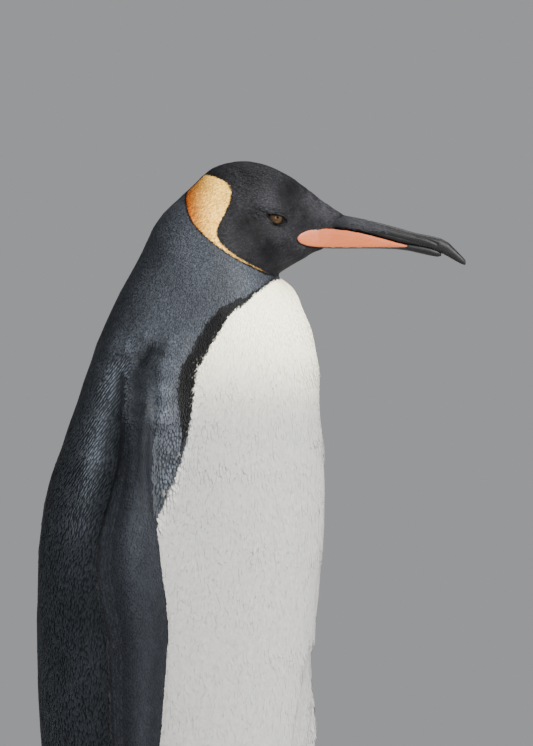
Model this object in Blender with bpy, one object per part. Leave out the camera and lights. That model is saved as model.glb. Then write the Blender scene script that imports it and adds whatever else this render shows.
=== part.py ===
"""A king penguin at life size, standing still with its head level and its flippers hanging.

The bird faces +X, its right side is at -Y, and it stands on z = 0. The tables below are in
millimetres and MM turns them into metres. Trunk, neck and head are one loft, parted by thin
plane cuts. Pieces that grow from another are cut by a slightly larger copy of it.
"""

import math

import bmesh
import bpy
from mathutils import Vector

MM = 0.001
GAP = 0.3  # clearance between neighbouring pieces
SIDES = {"right": -1, "left": 1}

# Body loft. Each row is a slanting oval from the nape side to the throat side:
# back x, back z, front x, front z, half width, place of the widest point, squareness.
TRUNK_ROWS = [
    (-116, 40, -30, 38, 52, 0.50, 2.3),
    (-134, 53, -8, 50, 68, 0.50, 2.3),
    (-150, 76, 14, 72, 82, 0.50, 2.25),
    (-168, 115, 35, 111, 96, 0.49, 2.2),
    (-184, 170, 50, 167, 107, 0.48, 2.2),
    (-196, 236, 59.5, 234, 113, 0.47, 2.2),
    (-203, 308, 63.5, 306, 117, 0.46, 2.2),
    (-206, 357, 61.5, 357, 118.5, 0.46, 2.2),
    (-206.9, 404.5, 64.5, 404, 119, 0.46, 2.2),
    (-205.9, 452.5, 69.6, 452, 118.5, 0.46, 2.2),
    (-202, 500.5, 74, 503, 117, 0.46, 2.2),
    (-195.4, 539, 74.4, 540, 114.5, 0.46, 2.15),
    (-183, 574, 71, 575, 110, 0.46, 2.15),
    (-168.5, 615.7, 66.8, 613, 103, 0.46, 2.1),
    (-157, 652, 67, 650, 95, 0.47, 2.1),
    (-143.5, 691, 59.5, 688, 86, 0.48, 2.1),
]
NECK_ROWS = [
    (-130.5, 716.5, 47.2, 716.5, 79, 0.50, 2.05),
    (-114, 748, 43.6, 724, 72, 0.50, 2.0),
    (-99.4, 776, 38.6, 730.5, 65.5, 0.50, 2.0),
    (-84, 800, 31.5, 735.6, 59.5, 0.50, 2.0),
]
HEAD_ROWS = [
    (-66, 816.5, 23.5, 737.7, 54, 0.50, 2.0),
    (-54, 827.8, 28.4, 742.4, 48, 0.50, 2.05),
    (-36, 843.6, 37.5, 748.6, 43, 0.51, 2.1),
    (-10, 850, 46, 753.6, 38.5, 0.53, 2.15),
    (12.5, 846.9, 52, 756.8, 34, 0.55, 2.15),
    (29, 840, 56, 759.6, 28.5, 0.56, 2.15),
    (43, 832, 59.5, 761.8, 23, 0.57, 2.1),
    (57.1, 820.6, 63, 763.6, 18, 0.58, 2.1),
    (75.4, 808.3, 66.5, 764.4, 14.2, 0.58, 2.2),
    (93.5, 799.3, 69.5, 764.7, 12.2, 0.57, 2.3),
]
HEAD_STEPS = 2  # rings from one row to the next, above the trunk
BOTTOM_BULGE = 7  # how far the under side hangs below the lowest row
BODY_POINTS = 30  # points round a ring

# The bare fold down the middle of the low belly, with a soft lobe on each side of it.
FOLD_TOP, FOLD_DEPTH, FOLD_WIDTH = 385, 15, 13
FAR_LOBE_REACH = 5  # the left lobe hangs a little further forward

# Soft forms of the sides: centre x, z, spread, and how far the side moves outwards.
TRUNK_FORMS = [
    (-76, 600, 40, 4.5),  # shoulder in front of the flipper
    (-132, 585, 24, -4),  # hollow behind it
]
FACE_FORMS = [
    (27, 794, 11, -3.0),  # socket of the eye
    (20, 808, 12, 1.2),  # brow
    (2, 775, 20, 1.5),  # cheek
    (46, 776, 15, -5.5),  # side of the gape
]

# Bill. Each row is x, top z, bottom z, half width.
UPPER_BILL_ROWS = [
    (62, 800, 786.6, 7.5),
    (78, 799, 786.4, 9.6),
    (93, 796.8, 784.6, 10.2),
    (108, 793.8, 781.7, 9.6),
    (124, 790.4, 777.4, 8.7),
    (142, 785.6, 772.4, 7.8),
    (158, 780.9, 770.2, 6.8),
    (172, 778.2, 767.2, 5.9),
    (182, 775.9, 763.8, 5.1),
    (190, 771.6, 759.6, 4.3),
    (197.3, 764.3, 755.4, 3.4),
    (203, 758.5, 752.5, 2.4),
    (206.4, 755, 751.6, 1.2),
]
LOWER_BILL_ROWS = [
    (48, 784.0, 770.5, 6.0),
    (62, 785.6, 766.9, 8.8),
    (78, 785.4, 766.2, 9.6),
    (93, 783.6, 766.2, 9.4),
    (108, 780.7, 766.3, 8.9),
    (124, 776.4, 766.2, 8.0),
    (140, 771.9, 765.6, 7.0),
    (152, 770.0, 764.0, 6.2),
    (164, 768.2, 761.3, 5.4),
    (173, 766.2, 759.3, 4.5),
    (179.5, 763.8, 758.2, 3.2),
    (183, 762.0, 758.8, 1.6),
]
BILL_POINTS = 16

# The coloured plate on each side of the lower bill: x, top z, bottom z, middle y of the slab.
PLATE_ROWS = [
    (45, 776.6, 773.8, 22.2),
    (48, 780.6, 770.4, 20.4),
    (55, 783.8, 768.0, 16.8),
    (65, 785.3, 767.0, 13.0),
    (78, 785.0, 766.6, 11.2),
    (93, 783.2, 766.6, 10.4),
    (108, 780.3, 766.7, 9.6),
    (124, 776.1, 766.9, 8.5),
    (138, 772.1, 766.9, 7.5),
    (147, 769.6, 767.2, 6.7),
    (150.5, 768.6, 767.6, 6.4),
]
PLATE_THICKNESS = 2.6
PLATE_POINTS = 10

EYE_CENTRE = (25.4, 29.1, 793.7)  # y is the distance from the middle plane
EYE_RADIUS = 8.5

# Flipper, from shoulder to tip: z, leading x, trailing x, y of the middle, thickness, turn.
# The turn is how much nearer to the body the trailing edge lies than the leading one.
FLIPPER_ROWS = [
    (656, -88, -118, 78, 12, 0),
    (632, -89, -121, 92, 27, 1),
    (600, -93, -123, 104, 31, 2),
    (560, -94.6, -126, 112.5, 28, 3),
    (525, -92.5, -135, 118, 22, 5),
    (490, -89, -145.5, 122, 17, 7),
    (459, -86, -148.5, 124.5, 14, 8),
    (430, -82, -144.5, 126, 13, 8),
    (400, -79.9, -137.2, 127, 12, 7),
    (350, -83.7, -135, 127.5, 10.5, 6),
    (304, -87.4, -133.2, 127, 9, 5),
    (268, -91.5, -129.5, 126, 7.5, 4),
    (244, -97.5, -123.5, 125, 6, 3),
    (233, -105, -115, 124.3, 4, 1),
]
FLIPPER_POINTS = 16
FLIPPER_THICKEST = 0.32  # of the chord, from the leading edge

# Tail wedge, from the rump to the tip: x, z, half width, half thickness.
TAIL_ROWS = [
    (-116, 118, 38, 24),
    (-138, 84, 39, 20),
    (-157, 55, 35, 14.5),
    (-173, 31, 29, 9.5),
    (-186, 12, 21, 5.5),
    (-193, 1, 15, 3.4),
    (-195, -3, 12, 2.6),
]
TAIL_POINTS = 16

# Leg, from thigh to ankle: z, x, half length, half width.
LEG_ROWS = [
    (100, -46, 38, 29),
    (74, -50, 34, 27),
    (52, -54, 28, 24),
    (37, -57, 23, 20.5),
    (26, -58, 20, 17.5),
    (19, -57, 18.5, 16),
]
LEG_POINTS = 16
STANCE = 43  # distance of each ankle from the middle plane

# Foot, seen from above: the ankle, the heel, and the toes as (angle, length) from the ankle.
ANKLE_X = -57
FOOT_TURN = math.radians(9)  # the feet point a little outwards
HEEL_RADIUS = 19
TOES = {
    "inner": (math.radians(-23), 70),
    "middle": (math.radians(0), 90),
    "outer": (math.radians(21), 80),
}
TOE_RADIUS = 8.5
TOE_HEIGHTS = (15.5, 10.5)  # at the ankle and at the tip
WEB_THICKNESS = 4.5
WEB_SAG = 0.17  # how far the web's edge lies behind the line between two toes
ANKLE_HEIGHT = 23
FOOT_RAYS = 36
FOOT_RINGS = (0.16, 0.32, 0.46, 0.6, 0.73, 0.84, 0.92, 0.975, 1.0)
RIM_HEIGHT = 1.2

CLAW_LENGTH = 19
CLAW_RADIUS = 4.2
CLAW_POINTS = 8

BLACK = (0.012, 0.012, 0.014, 1)
SLATE = (0.075, 0.085, 0.1, 1)
WHITE = (0.8, 0.78, 0.73, 1)
HORN = (0.02, 0.018, 0.017, 1)
ORANGE = (0.75, 0.27, 0.1, 1)
AMBER = (0.16, 0.08, 0.035, 1)


def clear_scene():
    for obj in list(bpy.data.objects):
        bpy.data.objects.remove(obj, do_unlink=True)


def new_collection(name):
    collection = bpy.data.collections.new(name)
    bpy.context.scene.collection.children.link(collection)
    return collection


def add_object(name, bm, collection):
    bmesh.ops.recalc_face_normals(bm, faces=bm.faces)
    mesh = bpy.data.meshes.new(name)
    bm.to_mesh(mesh)
    bm.free()
    mesh.shade_smooth()
    mesh.set_sharp_from_angle(angle=math.radians(50))
    obj = bpy.data.objects.new(name, mesh)
    collection.objects.link(obj)
    return obj


def paint(obj, colour, roughness):
    material = bpy.data.materials.new(obj.name)
    material.use_nodes = True
    shader = material.node_tree.nodes["Principled BSDF"]
    shader.inputs["Base Color"].default_value = colour
    shader.inputs["Roughness"].default_value = roughness
    shader.inputs["Metallic"].default_value = 0
    obj.data.materials.append(material)


def cut(target, cutter):
    cutter.hide_render = True
    cutter.display_type = "WIRE"
    modifier = target.modifiers.new("cut_" + cutter.name, "BOOLEAN")
    modifier.operation = "DIFFERENCE"
    modifier.solver = "EXACT"
    modifier.object = cutter


def smooth_rows(rows, steps, first=0):
    """Rows on a smooth curve through the given ones, this many steps from each to the next."""
    last = len(rows) - 1
    found = []
    for i in range(first, last):
        around = [rows[min(max(k, 0), last)] for k in (i - 1, i, i + 1, i + 2)]
        for step in range(steps):
            t = step / steps
            weights = (
                (-t + 2 * t**2 - t**3) / 2,
                (2 - 5 * t**2 + 3 * t**3) / 2,
                (t + 4 * t**2 - 3 * t**3) / 2,
                (-(t**2) + t**3) / 2,
            )
            found.append(
                tuple(sum(w * v for w, v in zip(weights, values)) for values in zip(*around))
            )
    found.append(tuple(rows[-1]))
    return found


def oval(count, power):
    """A unit oval as (along, across) pairs. A power of 2 is a circle, and more is squarer."""
    for i in range(count):
        angle = math.tau * i / count
        yield tuple(
            math.copysign(abs(value) ** (2 / power), value)
            for value in (math.cos(angle), math.sin(angle))
        )


def bump(distance, spread):
    return math.exp(-((distance / spread) ** 2))


def loft(name, rings, collection):
    """One closed body through rings of equally many points, with flat ends."""
    bm = bmesh.new()
    loops = [[bm.verts.new(Vector(point) * MM) for point in ring] for ring in rings]
    for lower, upper in zip(loops, loops[1:]):
        # Triangles, so that a grown copy is split along the same diagonals.
        for i in range(len(lower)):
            j = (i + 1) % len(lower)
            bm.faces.new((lower[i], lower[j], upper[j]))
            bm.faces.new((lower[i], upper[j], upper[i]))
    bm.faces.new(loops[0])
    bm.faces.new(loops[-1])
    return add_object(name, bm, collection)


def low_belly(x, y, z):
    """Pulls the middle of the low belly in, and lets the left lobe hang forward."""
    share = min(max((FOLD_TOP - z) / 110, 0), 1)
    share = share * share * (3 - 2 * share)
    x -= FOLD_DEPTH * share * bump(y, FOLD_WIDTH)
    return x + FAR_LOBE_REACH * share * math.tanh(y / 30)


def body_ring(row, grow=0.0, lift=0.0):
    """The oval of one row, grown all round and lifted off its own plane."""
    back_x, back_z, front_x, front_z, half, widest, power = row
    back = Vector((back_x, 0, back_z))
    line = Vector((front_x, 0, front_z)) - back
    unit = line.normalized()
    normal = Vector((-unit.z, 0, unit.x))
    middle = back + line * widest + normal * lift
    ring = []
    for along, across in oval(BODY_POINTS, power):
        reach = line.length * (1 - widest if along > 0 else widest) + grow
        point = middle + unit * along * reach + Vector((0, across * (half + grow), 0))
        if along > 0:
            point.x = low_belly(*point)
        ring.append(point)
    return ring


def soft_forms(point, forms):
    """Moves a point on the side of the body in or out."""
    moved = point.copy()
    for x, z, spread, outwards in forms:
        away = math.hypot(point.x - x, point.z - z)
        side = math.copysign(min(abs(point.y) / 15, 1), point.y)
        moved.y += side * outwards * bump(away, spread)
    return moved


def rounded_end(ring, outwards):
    """Two smaller rings that close an end with a soft curve. outwards is the whole bulge."""
    middle = sum(ring, Vector()) / len(ring)
    return [
        [middle + outwards * along + (point - middle) * share for point in ring]
        for along, share in ((0.62, 0.78), (1, 0.4))
    ]


def make_body(parts, cutters):
    neck_start = len(TRUNK_ROWS)
    head_start = neck_start + len(NECK_ROWS) * HEAD_STEPS
    all_rows = TRUNK_ROWS + NECK_ROWS + HEAD_ROWS
    rows = TRUNK_ROWS + smooth_rows(all_rows, HEAD_STEPS, first=neck_start)

    def trunk_rings(grow):
        rings = [body_ring(row, grow) for row in rows[: neck_start + 1]]
        rings = [[soft_forms(point, TRUNK_FORMS) for point in ring] for ring in rings]
        bottom = rounded_end(rings[0], Vector((0, 0, -BOTTOM_BULGE - grow)))
        return bottom[::-1] + rings

    neck_rings = [body_ring(rows[neck_start], lift=GAP)]
    neck_rings += [body_ring(row) for row in rows[neck_start + 1 : head_start + 1]]
    head_rings = [body_ring(rows[head_start], lift=GAP)]
    head_rings += [body_ring(row) for row in rows[head_start + 1 :]]
    head_rings = [[soft_forms(point, FACE_FORMS) for point in ring] for ring in head_rings]

    trunk = loft("trunk", trunk_rings(0), parts)
    paint(trunk, WHITE, 0.7)
    neck = loft("neck", neck_rings, parts)
    paint(neck, SLATE, 0.65)
    head = loft("head", head_rings, parts)
    paint(head, BLACK, 0.6)
    grown_trunk = loft("trunk_cutter", trunk_rings(GAP), cutters)
    return head, grown_trunk


def bill_rings(rows, grow, edge_at_top):
    """Upright sections of one half of the bill. The cutting edge is flatter than the far side."""
    rings = []
    last = len(rows) - 1
    for index, (x, top, bottom, half) in enumerate(rows):
        x += {0: -grow, last: grow}.get(index, 0)
        middle = (top + bottom) / 2
        height = (top - bottom) / 2 + grow
        ring = []
        for (up, across), (flat_up, flat_across) in zip(
            oval(BILL_POINTS, 2.1), oval(BILL_POINTS, 3.6)
        ):
            if (up > 0) == edge_at_top:
                up, across = flat_up, flat_across
            ring.append(Vector((x, across * (half + grow), middle + up * height)))
        rings.append(ring)
    return rings


def plate_rings(side, grow):
    rings = []
    last = len(PLATE_ROWS) - 1
    for index, (x, top, bottom, y) in enumerate(PLATE_ROWS):
        x += {0: -grow, last: grow}.get(index, 0)
        middle = (top + bottom) / 2
        height = (top - bottom) / 2 + grow
        thick = PLATE_THICKNESS / 2 + grow
        ring = [
            Vector((x, side * (y + across * thick), middle + up * height))
            for up, across in oval(PLATE_POINTS, 2.6)
        ]
        rings.append(ring)
    return rings


def make_bill(parts, cutters, head):
    halves = {"upper": (UPPER_BILL_ROWS, False), "lower": (LOWER_BILL_ROWS, True)}
    made = {}
    for name, (rows, edge_at_top) in halves.items():
        rows = smooth_rows(rows, 1)
        made[name] = loft("bill_" + name, bill_rings(rows, 0, edge_at_top), parts)
        paint(made[name], HORN, 0.35)
        cut(head, loft(f"bill_{name}_cutter", bill_rings(rows, GAP, edge_at_top), cutters))
    for name, side in SIDES.items():
        plate = loft("plate_" + name, plate_rings(side, 0), parts)
        paint(plate, ORANGE, 0.3)
        grown_plate = loft(f"plate_{name}_cutter", plate_rings(side, GAP), cutters)
        cut(head, grown_plate)
        cut(made["lower"], grown_plate)


def sphere(name, centre, radius, collection):
    bm = bmesh.new()
    bmesh.ops.create_uvsphere(bm, u_segments=16, v_segments=10, radius=radius * MM)
    bmesh.ops.translate(bm, verts=bm.verts, vec=Vector(centre) * MM)
    return add_object(name, bm, collection)


def make_eyes(parts, cutters, head):
    x, y, z = EYE_CENTRE
    for name, side in SIDES.items():
        eye = sphere("eye_" + name, (x, side * y, z), EYE_RADIUS, parts)
        paint(eye, AMBER, 0.1)
        cut(head, sphere(f"eye_{name}_cutter", (x, side * y, z), EYE_RADIUS + GAP, cutters))


def flipper_rings(side, grow):
    rings = []
    for z, leading, trailing, y, thickness, turn in FLIPPER_ROWS:
        chord = leading - trailing + 2 * grow
        thickest = leading + grow - chord * FLIPPER_THICKEST
        ring = []
        for along, across in oval(FLIPPER_POINTS, 2.0):
            reach = chord * (FLIPPER_THICKEST if along > 0 else 1 - FLIPPER_THICKEST)
            x = thickest + along * reach
            toward_body = turn * ((leading + trailing) / 2 - x) / chord
            ring.append(
                Vector((x, side * (y - toward_body + across * (thickness / 2 + grow)), z))
            )
        rings.append(ring)
    return rings


def make_flippers(parts, trunk_cutter):
    for name, side in SIDES.items():
        flipper = loft("flipper_" + name, flipper_rings(side, 0), parts)
        paint(flipper, SLATE, 0.6)
        cut(flipper, trunk_cutter)


def make_tail(parts, cutters, trunk_cutter):
    rows = smooth_rows(TAIL_ROWS, 2)
    rings = []
    for index, (x, z, half, thick) in enumerate(rows):
        before, after = rows[max(index - 1, 0)], rows[min(index + 1, len(rows) - 1)]
        way = Vector((after[0] - before[0], 0, after[1] - before[1])).normalized()
        up = Vector((-way.z, 0, way.x))
        rings.append(
            [
                Vector((x, across * half, z)) + up * along * thick
                for along, across in oval(TAIL_POINTS, 2.3)
            ]
        )
    tail = loft("tail", rings, parts)
    paint(tail, SLATE, 0.6)
    cut(tail, trunk_cutter)
    bm = bmesh.new()
    bmesh.ops.create_cube(bm, size=1)
    bmesh.ops.scale(bm, verts=bm.verts, vec=(0.2, 0.2, 0.02))
    bmesh.ops.translate(bm, verts=bm.verts, vec=(-0.19, 0, -0.01))
    cut(tail, add_object("floor_cutter", bm, cutters))


def toe_reach(angle, toe_angle, length):
    """How far a ray from the ankle runs inside one rounded toe."""
    away = abs(angle - toe_angle)
    if away >= math.pi / 2:
        return TOE_RADIUS
    if length * math.sin(away) < TOE_RADIUS:
        inside = TOE_RADIUS**2 - (length * math.sin(away)) ** 2
        return length * math.cos(away) + math.sqrt(inside)
    return TOE_RADIUS / math.sin(away)


def web_reach(angle):
    """How far a ray from the ankle runs inside the web between two neighbouring toes."""
    toes = sorted(TOES.values())
    for (first, first_length), (second, second_length) in zip(toes, toes[1:]):
        if first <= angle <= second:
            share = (angle - first) / (second - first)
            line = first_length * (1 - share) + second_length * share
            return line * (1 - WEB_SAG * math.sin(math.pi * share)) + TOE_RADIUS * 0.6
    return 0


def foot_reach(angle):
    toes = (toe_reach(angle, *toe) for toe in TOES.values())
    return max(HEEL_RADIUS, web_reach(angle), *toes)


def foot_height(angle, distance, reach):
    """The top of the foot over the floor: toes, web and ankle, rounded off at the rim."""
    height = WEB_THICKNESS
    for toe_angle, length in TOES.values():
        along = distance * math.cos(angle - toe_angle)
        aside = abs(distance * math.sin(angle - toe_angle)) / TOE_RADIUS
        if along > 0 and aside < 1:
            start, end = TOE_HEIGHTS
            ridge = start + (end - start) * min(along / length, 1)
            height = max(height, ridge * math.sqrt(1 - aside**2))
    height += (ANKLE_HEIGHT - height) * bump(distance, 26)
    return RIM_HEIGHT + (height - RIM_HEIGHT) * math.sqrt(1 - (distance / reach) ** 7)


def placed_on_foot(side, angle, distance, z):
    """A point of the foot's own plan, turned and moved to where the foot stands."""
    turned = FOOT_TURN + angle
    return Vector(
        (
            ANKLE_X + distance * math.cos(turned),
            side * (STANCE + distance * math.sin(turned)),
            z,
        )
    )


def make_foot(name, side, parts):
    angles = [math.tau * i / FOOT_RAYS - math.pi for i in range(FOOT_RAYS)]
    reaches = [foot_reach(angle) for angle in angles]
    bm = bmesh.new()
    top = bm.verts.new(placed_on_foot(side, 0, 0, ANKLE_HEIGHT) * MM)
    loops = []
    for share in FOOT_RINGS:
        heights = [foot_height(a, share * r, r) for a, r in zip(angles, reaches)]
        loops.append(
            [
                bm.verts.new(placed_on_foot(side, a, share * r, h) * MM)
                for a, r, h in zip(angles, reaches, heights)
            ]
        )
    sole = [
        bm.verts.new(placed_on_foot(side, a, 0.975 * r, 0) * MM)
        for a, r in zip(angles, reaches)
    ]
    loops.append(sole)
    for i in range(FOOT_RAYS):
        j = (i + 1) % FOOT_RAYS
        bm.faces.new((top, loops[0][i], loops[0][j]))
        for inner, outer in zip(loops, loops[1:]):
            bm.faces.new((inner[i], outer[i], outer[j], inner[j]))
    bm.faces.new(sole)
    foot = add_object("foot_" + name, bm, parts)
    paint(foot, BLACK, 0.6)
    return foot


def claw_rings(side, angle, length, grow):
    """A claw that starts inside the toe's end and bends down to a blunt point."""
    rings = []
    for share in (0, 0.25, 0.5, 0.72, 0.9, 1):
        distance = length - 3 + CLAW_LENGTH * share
        radius = CLAW_RADIUS * (1 - share**1.6 * 0.86) + grow
        height = 6.6 - 4.6 * share**2 + 0.6 * math.sin(math.pi * share)
        extra = {0: -grow, 1: grow}.get(share, 0)
        ring = []
        for up, across in oval(CLAW_POINTS, 2):
            point = placed_on_foot(side, angle, distance + extra, height + up * radius * 0.95)
            sideways = Vector(
                (-math.sin(FOOT_TURN + angle), side * math.cos(FOOT_TURN + angle), 0)
            )
            ring.append(point + sideways * across * radius * 0.8)
        rings.append(ring)
    return rings


def leg_rings(side, grow):
    rings = []
    for z, x, half_length, half_width in LEG_ROWS:
        middle = Vector((x, side * STANCE, z - grow))
        rings.append(
            [
                middle + Vector((along * (half_length + grow), across * (half_width + grow), 0))
                for along, across in oval(LEG_POINTS, 2.1)
            ]
        )
    return rings


def make_legs(parts, cutters, trunk_cutter):
    for name, side in SIDES.items():
        foot = make_foot(name, side, parts)
        for toe, (angle, length) in TOES.items():
            claw = loft(f"claw_{name}_{toe}", claw_rings(side, angle, length, 0), parts)
            paint(claw, HORN, 0.3)
            rings = claw_rings(side, angle, length, GAP)
            cut(foot, loft(f"claw_{name}_{toe}_cutter", rings, cutters))
        leg = loft("leg_" + name, leg_rings(side, 0), parts)
        paint(leg, SLATE, 0.7)
        cut(leg, trunk_cutter)
        cut(foot, loft(f"leg_{name}_cutter", leg_rings(side, GAP), cutters))


def main():
    clear_scene()
    parts = new_collection("king_penguin")
    cutters = new_collection("cutters")
    head, trunk_cutter = make_body(parts, cutters)
    make_bill(parts, cutters, head)
    make_eyes(parts, cutters, head)
    make_flippers(parts, trunk_cutter)
    make_tail(parts, cutters, trunk_cutter)
    make_legs(parts, cutters, trunk_cutter)


main()
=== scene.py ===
import math

import bmesh
import bpy
import numpy as np
from mathutils import Matrix, Vector
from mathutils.bvhtree import BVHTree
from mathutils.kdtree import KDTree


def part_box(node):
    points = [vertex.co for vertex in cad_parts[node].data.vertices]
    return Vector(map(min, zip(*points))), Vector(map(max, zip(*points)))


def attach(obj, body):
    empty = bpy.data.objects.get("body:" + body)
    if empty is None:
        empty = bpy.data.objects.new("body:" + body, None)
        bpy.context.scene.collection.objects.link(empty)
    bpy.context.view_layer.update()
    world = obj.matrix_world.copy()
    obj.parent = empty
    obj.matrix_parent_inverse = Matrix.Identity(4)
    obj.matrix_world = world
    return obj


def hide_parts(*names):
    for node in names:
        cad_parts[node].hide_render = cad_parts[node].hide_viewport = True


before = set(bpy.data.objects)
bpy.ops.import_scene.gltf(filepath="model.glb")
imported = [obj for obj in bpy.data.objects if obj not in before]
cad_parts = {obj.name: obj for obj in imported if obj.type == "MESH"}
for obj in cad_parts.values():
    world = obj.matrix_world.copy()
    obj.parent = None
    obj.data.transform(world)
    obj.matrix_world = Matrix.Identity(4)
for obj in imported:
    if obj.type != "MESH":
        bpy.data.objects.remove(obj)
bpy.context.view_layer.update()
mm = 0.001
sides = {"right": -1, "left": 1}


def boxMiddle(node):
    low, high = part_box(node)
    return (np.array(low) + np.array(high)) / 2


# The eye is the origin of every place on the head and body below, given as millimetres
# forward (x) and up (z) from its middle.
eyeMiddle = boxMiddle("eye_left")
eyeBall = {"radius": 11.9, "inward": 3.5}
eyeX, eyeZ = eyeMiddle[0] / mm, eyeMiddle[2] / mm


def fromEye(points):
    # Side view places in millimetres of the frame, from places counted from the eye.
    return np.array(points, float) + (eyeX, eyeZ)


# Small tools.

def linear(colour):
    # A colour of 0 to 255, as seen on a screen, as the numbers a shader takes.
    c = np.array(colour, float) / 255
    return np.where(c <= 0.04045, c / 12.92, ((c + 0.055) / 1.055) ** 2.4)


def smoothStep(low, high, values):
    t = np.clip((values - low) / (high - low), 0, 1)
    return t * t * (3 - 2 * t)


def bell(values, width):
    # 1 at 0, falling off on both sides over this width.
    return np.exp(-((values / width) ** 2))


def unit(vectors):
    return vectors / np.maximum(np.linalg.norm(vectors, axis=-1, keepdims=True), 1e-12)


def mix(first, second, share):
    share = np.asarray(share)
    if share.ndim == 1:
        share = share[:, None]
    return first * (1 - share) + second * share


waves = np.random.default_rng(11)
waveTurns = unit(waves.normal(size=(14, 3)))
wavePhases = waves.uniform(0, math.tau, 14)


def softNoise(points, size):
    # A smooth value of about -1 to 1 that wanders over this many millimetres.
    total = np.zeros(len(points))
    for i, (turn, phase) in enumerate(zip(waveTurns, wavePhases)):
        pitch = math.tau / size * (0.7 + 0.09 * i)
        total += np.sin(points @ turn * pitch + phase)
    return total / 4.2


def signedDistance(places, outline):
    # Distance to a closed outline in the side view: over 0 inside it, under 0 outside.
    best = np.full(len(places), 1e9)
    inside = np.zeros(len(places), bool)
    for (ax, az), (bx, bz) in zip(outline, np.roll(outline, -1, axis=0)):
        px, pz = places[:, 0] - ax, places[:, 1] - az
        ex, ez = bx - ax, bz - az
        t = np.clip((px * ex + pz * ez) / max(ex * ex + ez * ez, 1e-9), 0, 1)
        best = np.minimum(best, (px - ex * t) ** 2 + (pz - ez * t) ** 2)
        crosses = (az > places[:, 1]) != (bz > places[:, 1])
        slope = (bx - ax) / (bz - az) if bz != az else 0
        inside ^= crosses & (places[:, 0] < ax + (places[:, 1] - az) * slope)
    return np.sqrt(best) * np.where(inside, 1, -1)


def lineDistance(places, line):
    # Distance to an open line in the side view, and how far along it the nearest place is.
    best = np.full(len(places), 1e9)
    along = np.zeros(len(places))
    gone = 0
    for (ax, az), (bx, bz) in zip(line[:-1], line[1:]):
        px, pz = places[:, 0] - ax, places[:, 1] - az
        ex, ez = bx - ax, bz - az
        length = math.hypot(ex, ez)
        t = np.clip((px * ex + pz * ez) / length**2, 0, 1)
        away = np.hypot(px - ex * t, pz - ez * t)
        nearer = away < best
        best = np.where(nearer, away, best)
        along = np.where(nearer, gone + t * length, along)
        gone += length
    return best, along / gone


def rounded(points, times=2):
    # Cuts the corners of an open line.
    points = np.array(points, float)
    for _ in range(times):
        cut = np.empty((2 * len(points), 2))
        cut[0::2] = points
        cut[1::2] = points
        cut[1:-1:2] = points[:-1] * 0.75 + points[1:] * 0.25
        cut[2::2] = points[:-1] * 0.25 + points[1:] * 0.75
        points = cut[:-1]
    return points


def eyeLine(points):
    # A rounded line in the side view, from points counted from the eye.
    return rounded(fromEye(points))


def mergedCopy(node):
    part = bmesh.new()
    part.from_mesh(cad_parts[node].data)
    bmesh.ops.remove_doubles(part, verts=part.verts, dist=1e-6)
    part.normal_update()
    return part


def pointsOf(mesh):
    found = np.empty(len(mesh.vertices) * 3, np.float32)
    mesh.vertices.foreach_get("co", found)
    return found.reshape(-1, 3).astype(float)


def normalsOf(mesh):
    found = np.empty(len(mesh.vertices) * 3, np.float32)
    mesh.vertex_normals.foreach_get("vector", found)
    return found.reshape(-1, 3).astype(float)


def setPoints(mesh, points):
    mesh.vertices.foreach_set("co", np.asarray(points, np.float32).ravel())
    mesh.update()


def newPiece(name, mesh, material):
    piece = bpy.data.objects.new(name, mesh)
    bpy.context.scene.collection.objects.link(piece)
    mesh.materials.clear()
    mesh.materials.append(material)
    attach(piece, "root")
    return piece


def trianglesOf(mesh):
    mesh.calc_loop_triangles()
    found = np.empty(len(mesh.loop_triangles) * 3, np.int32)
    mesh.loop_triangles.foreach_get("vertices", found)
    return found.reshape(-1, 3)


def setColours(mesh, name, colours):
    layer = mesh.color_attributes.new(name, "FLOAT_COLOR", "POINT")
    full = np.ones((len(colours), 4), np.float32)
    full[:, :3] = colours
    layer.data.foreach_set("color", full.ravel())


# Markings of the plumage, as outlines in the side view.

markings = {
    # rear and lower edge of the ear patch, which is also the lower edge of the hood
    "hoodLine": rounded(fromEye([
        (-70, 48), (-81.6, 35.2), (-87.1, 23.9), (-86.6, 13.9), (-83.5, 1.7), (-76.4, -9.5),
        (-63.3, -21.5), (-51.1, -30.6), (-37, -39.7), (-20.9, -47.2), (-3.8, -56),
    ])),
    # front edge of the ear patch
    "patchFront": rounded(fromEye([
        (-71.4, 43.5), (-61.4, 41.1), (-51.1, 37.1), (-44.1, 28.9), (-44.1, 19.8),
        (-48.2, 8.8), (-55.2, -4.2), (-58.2, -12.5), (-56.2, -20.5), (-51.1, -26.6),
        (-41, -34.8), (-31, -40.7), (-20.9, -45.8), (-12, -50.4), (-5.4, -54.2),
    ])),
    # rear edge of the white front, from the throat down and on under the flipper
    "whiteEdge": rounded(fromEye([
        (-3.8, -59.9), (-16.7, -69.1), (-35, -85.6), (-44.2, -91.1), (-53.4, -106.7),
        (-60.7, -118.6), (-71.8, -138.9), (-76.4, -146.2), (-77.4, -160), (-79.2, -171.9),
        (-81, -190.3), (-84.6, -208.7), (-88.3, -219.7), (-90, -231), (-96, -244.9),
        (-103.6, -264.4), (-109.5, -278.2), (-120, -300), (-128, -340), (-131, -400),
        (-131, -520), (-130, -600), (-128, -660), (-135, -700), (-150, -760),
    ]), 1),
    # rear edge of the black band beside it
    "bandEdge": rounded(fromEye([
        (-1, -54.4), (-25.9, -73.7), (-44.2, -80), (-53.4, -85.6), (-64.5, -96.6),
        (-73.6, -111.3), (-81, -126), (-90.1, -138.9), (-93.8, -153.6), (-94.7, -171.9),
        (-92, -190.3), (-90.5, -206), (-91.5, -219), (-93.5, -231), (-99, -244.9),
        (-105.6, -264.4), (-111, -278.2),
    ]), 1),
}
hoodArea = np.concatenate([markings["hoodLine"], fromEye([(60, -57), (260, -57), (260, 120), (-70, 120)])])
patchArea = np.concatenate([markings["hoodLine"][:-2], markings["patchFront"][::-1]])
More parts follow.
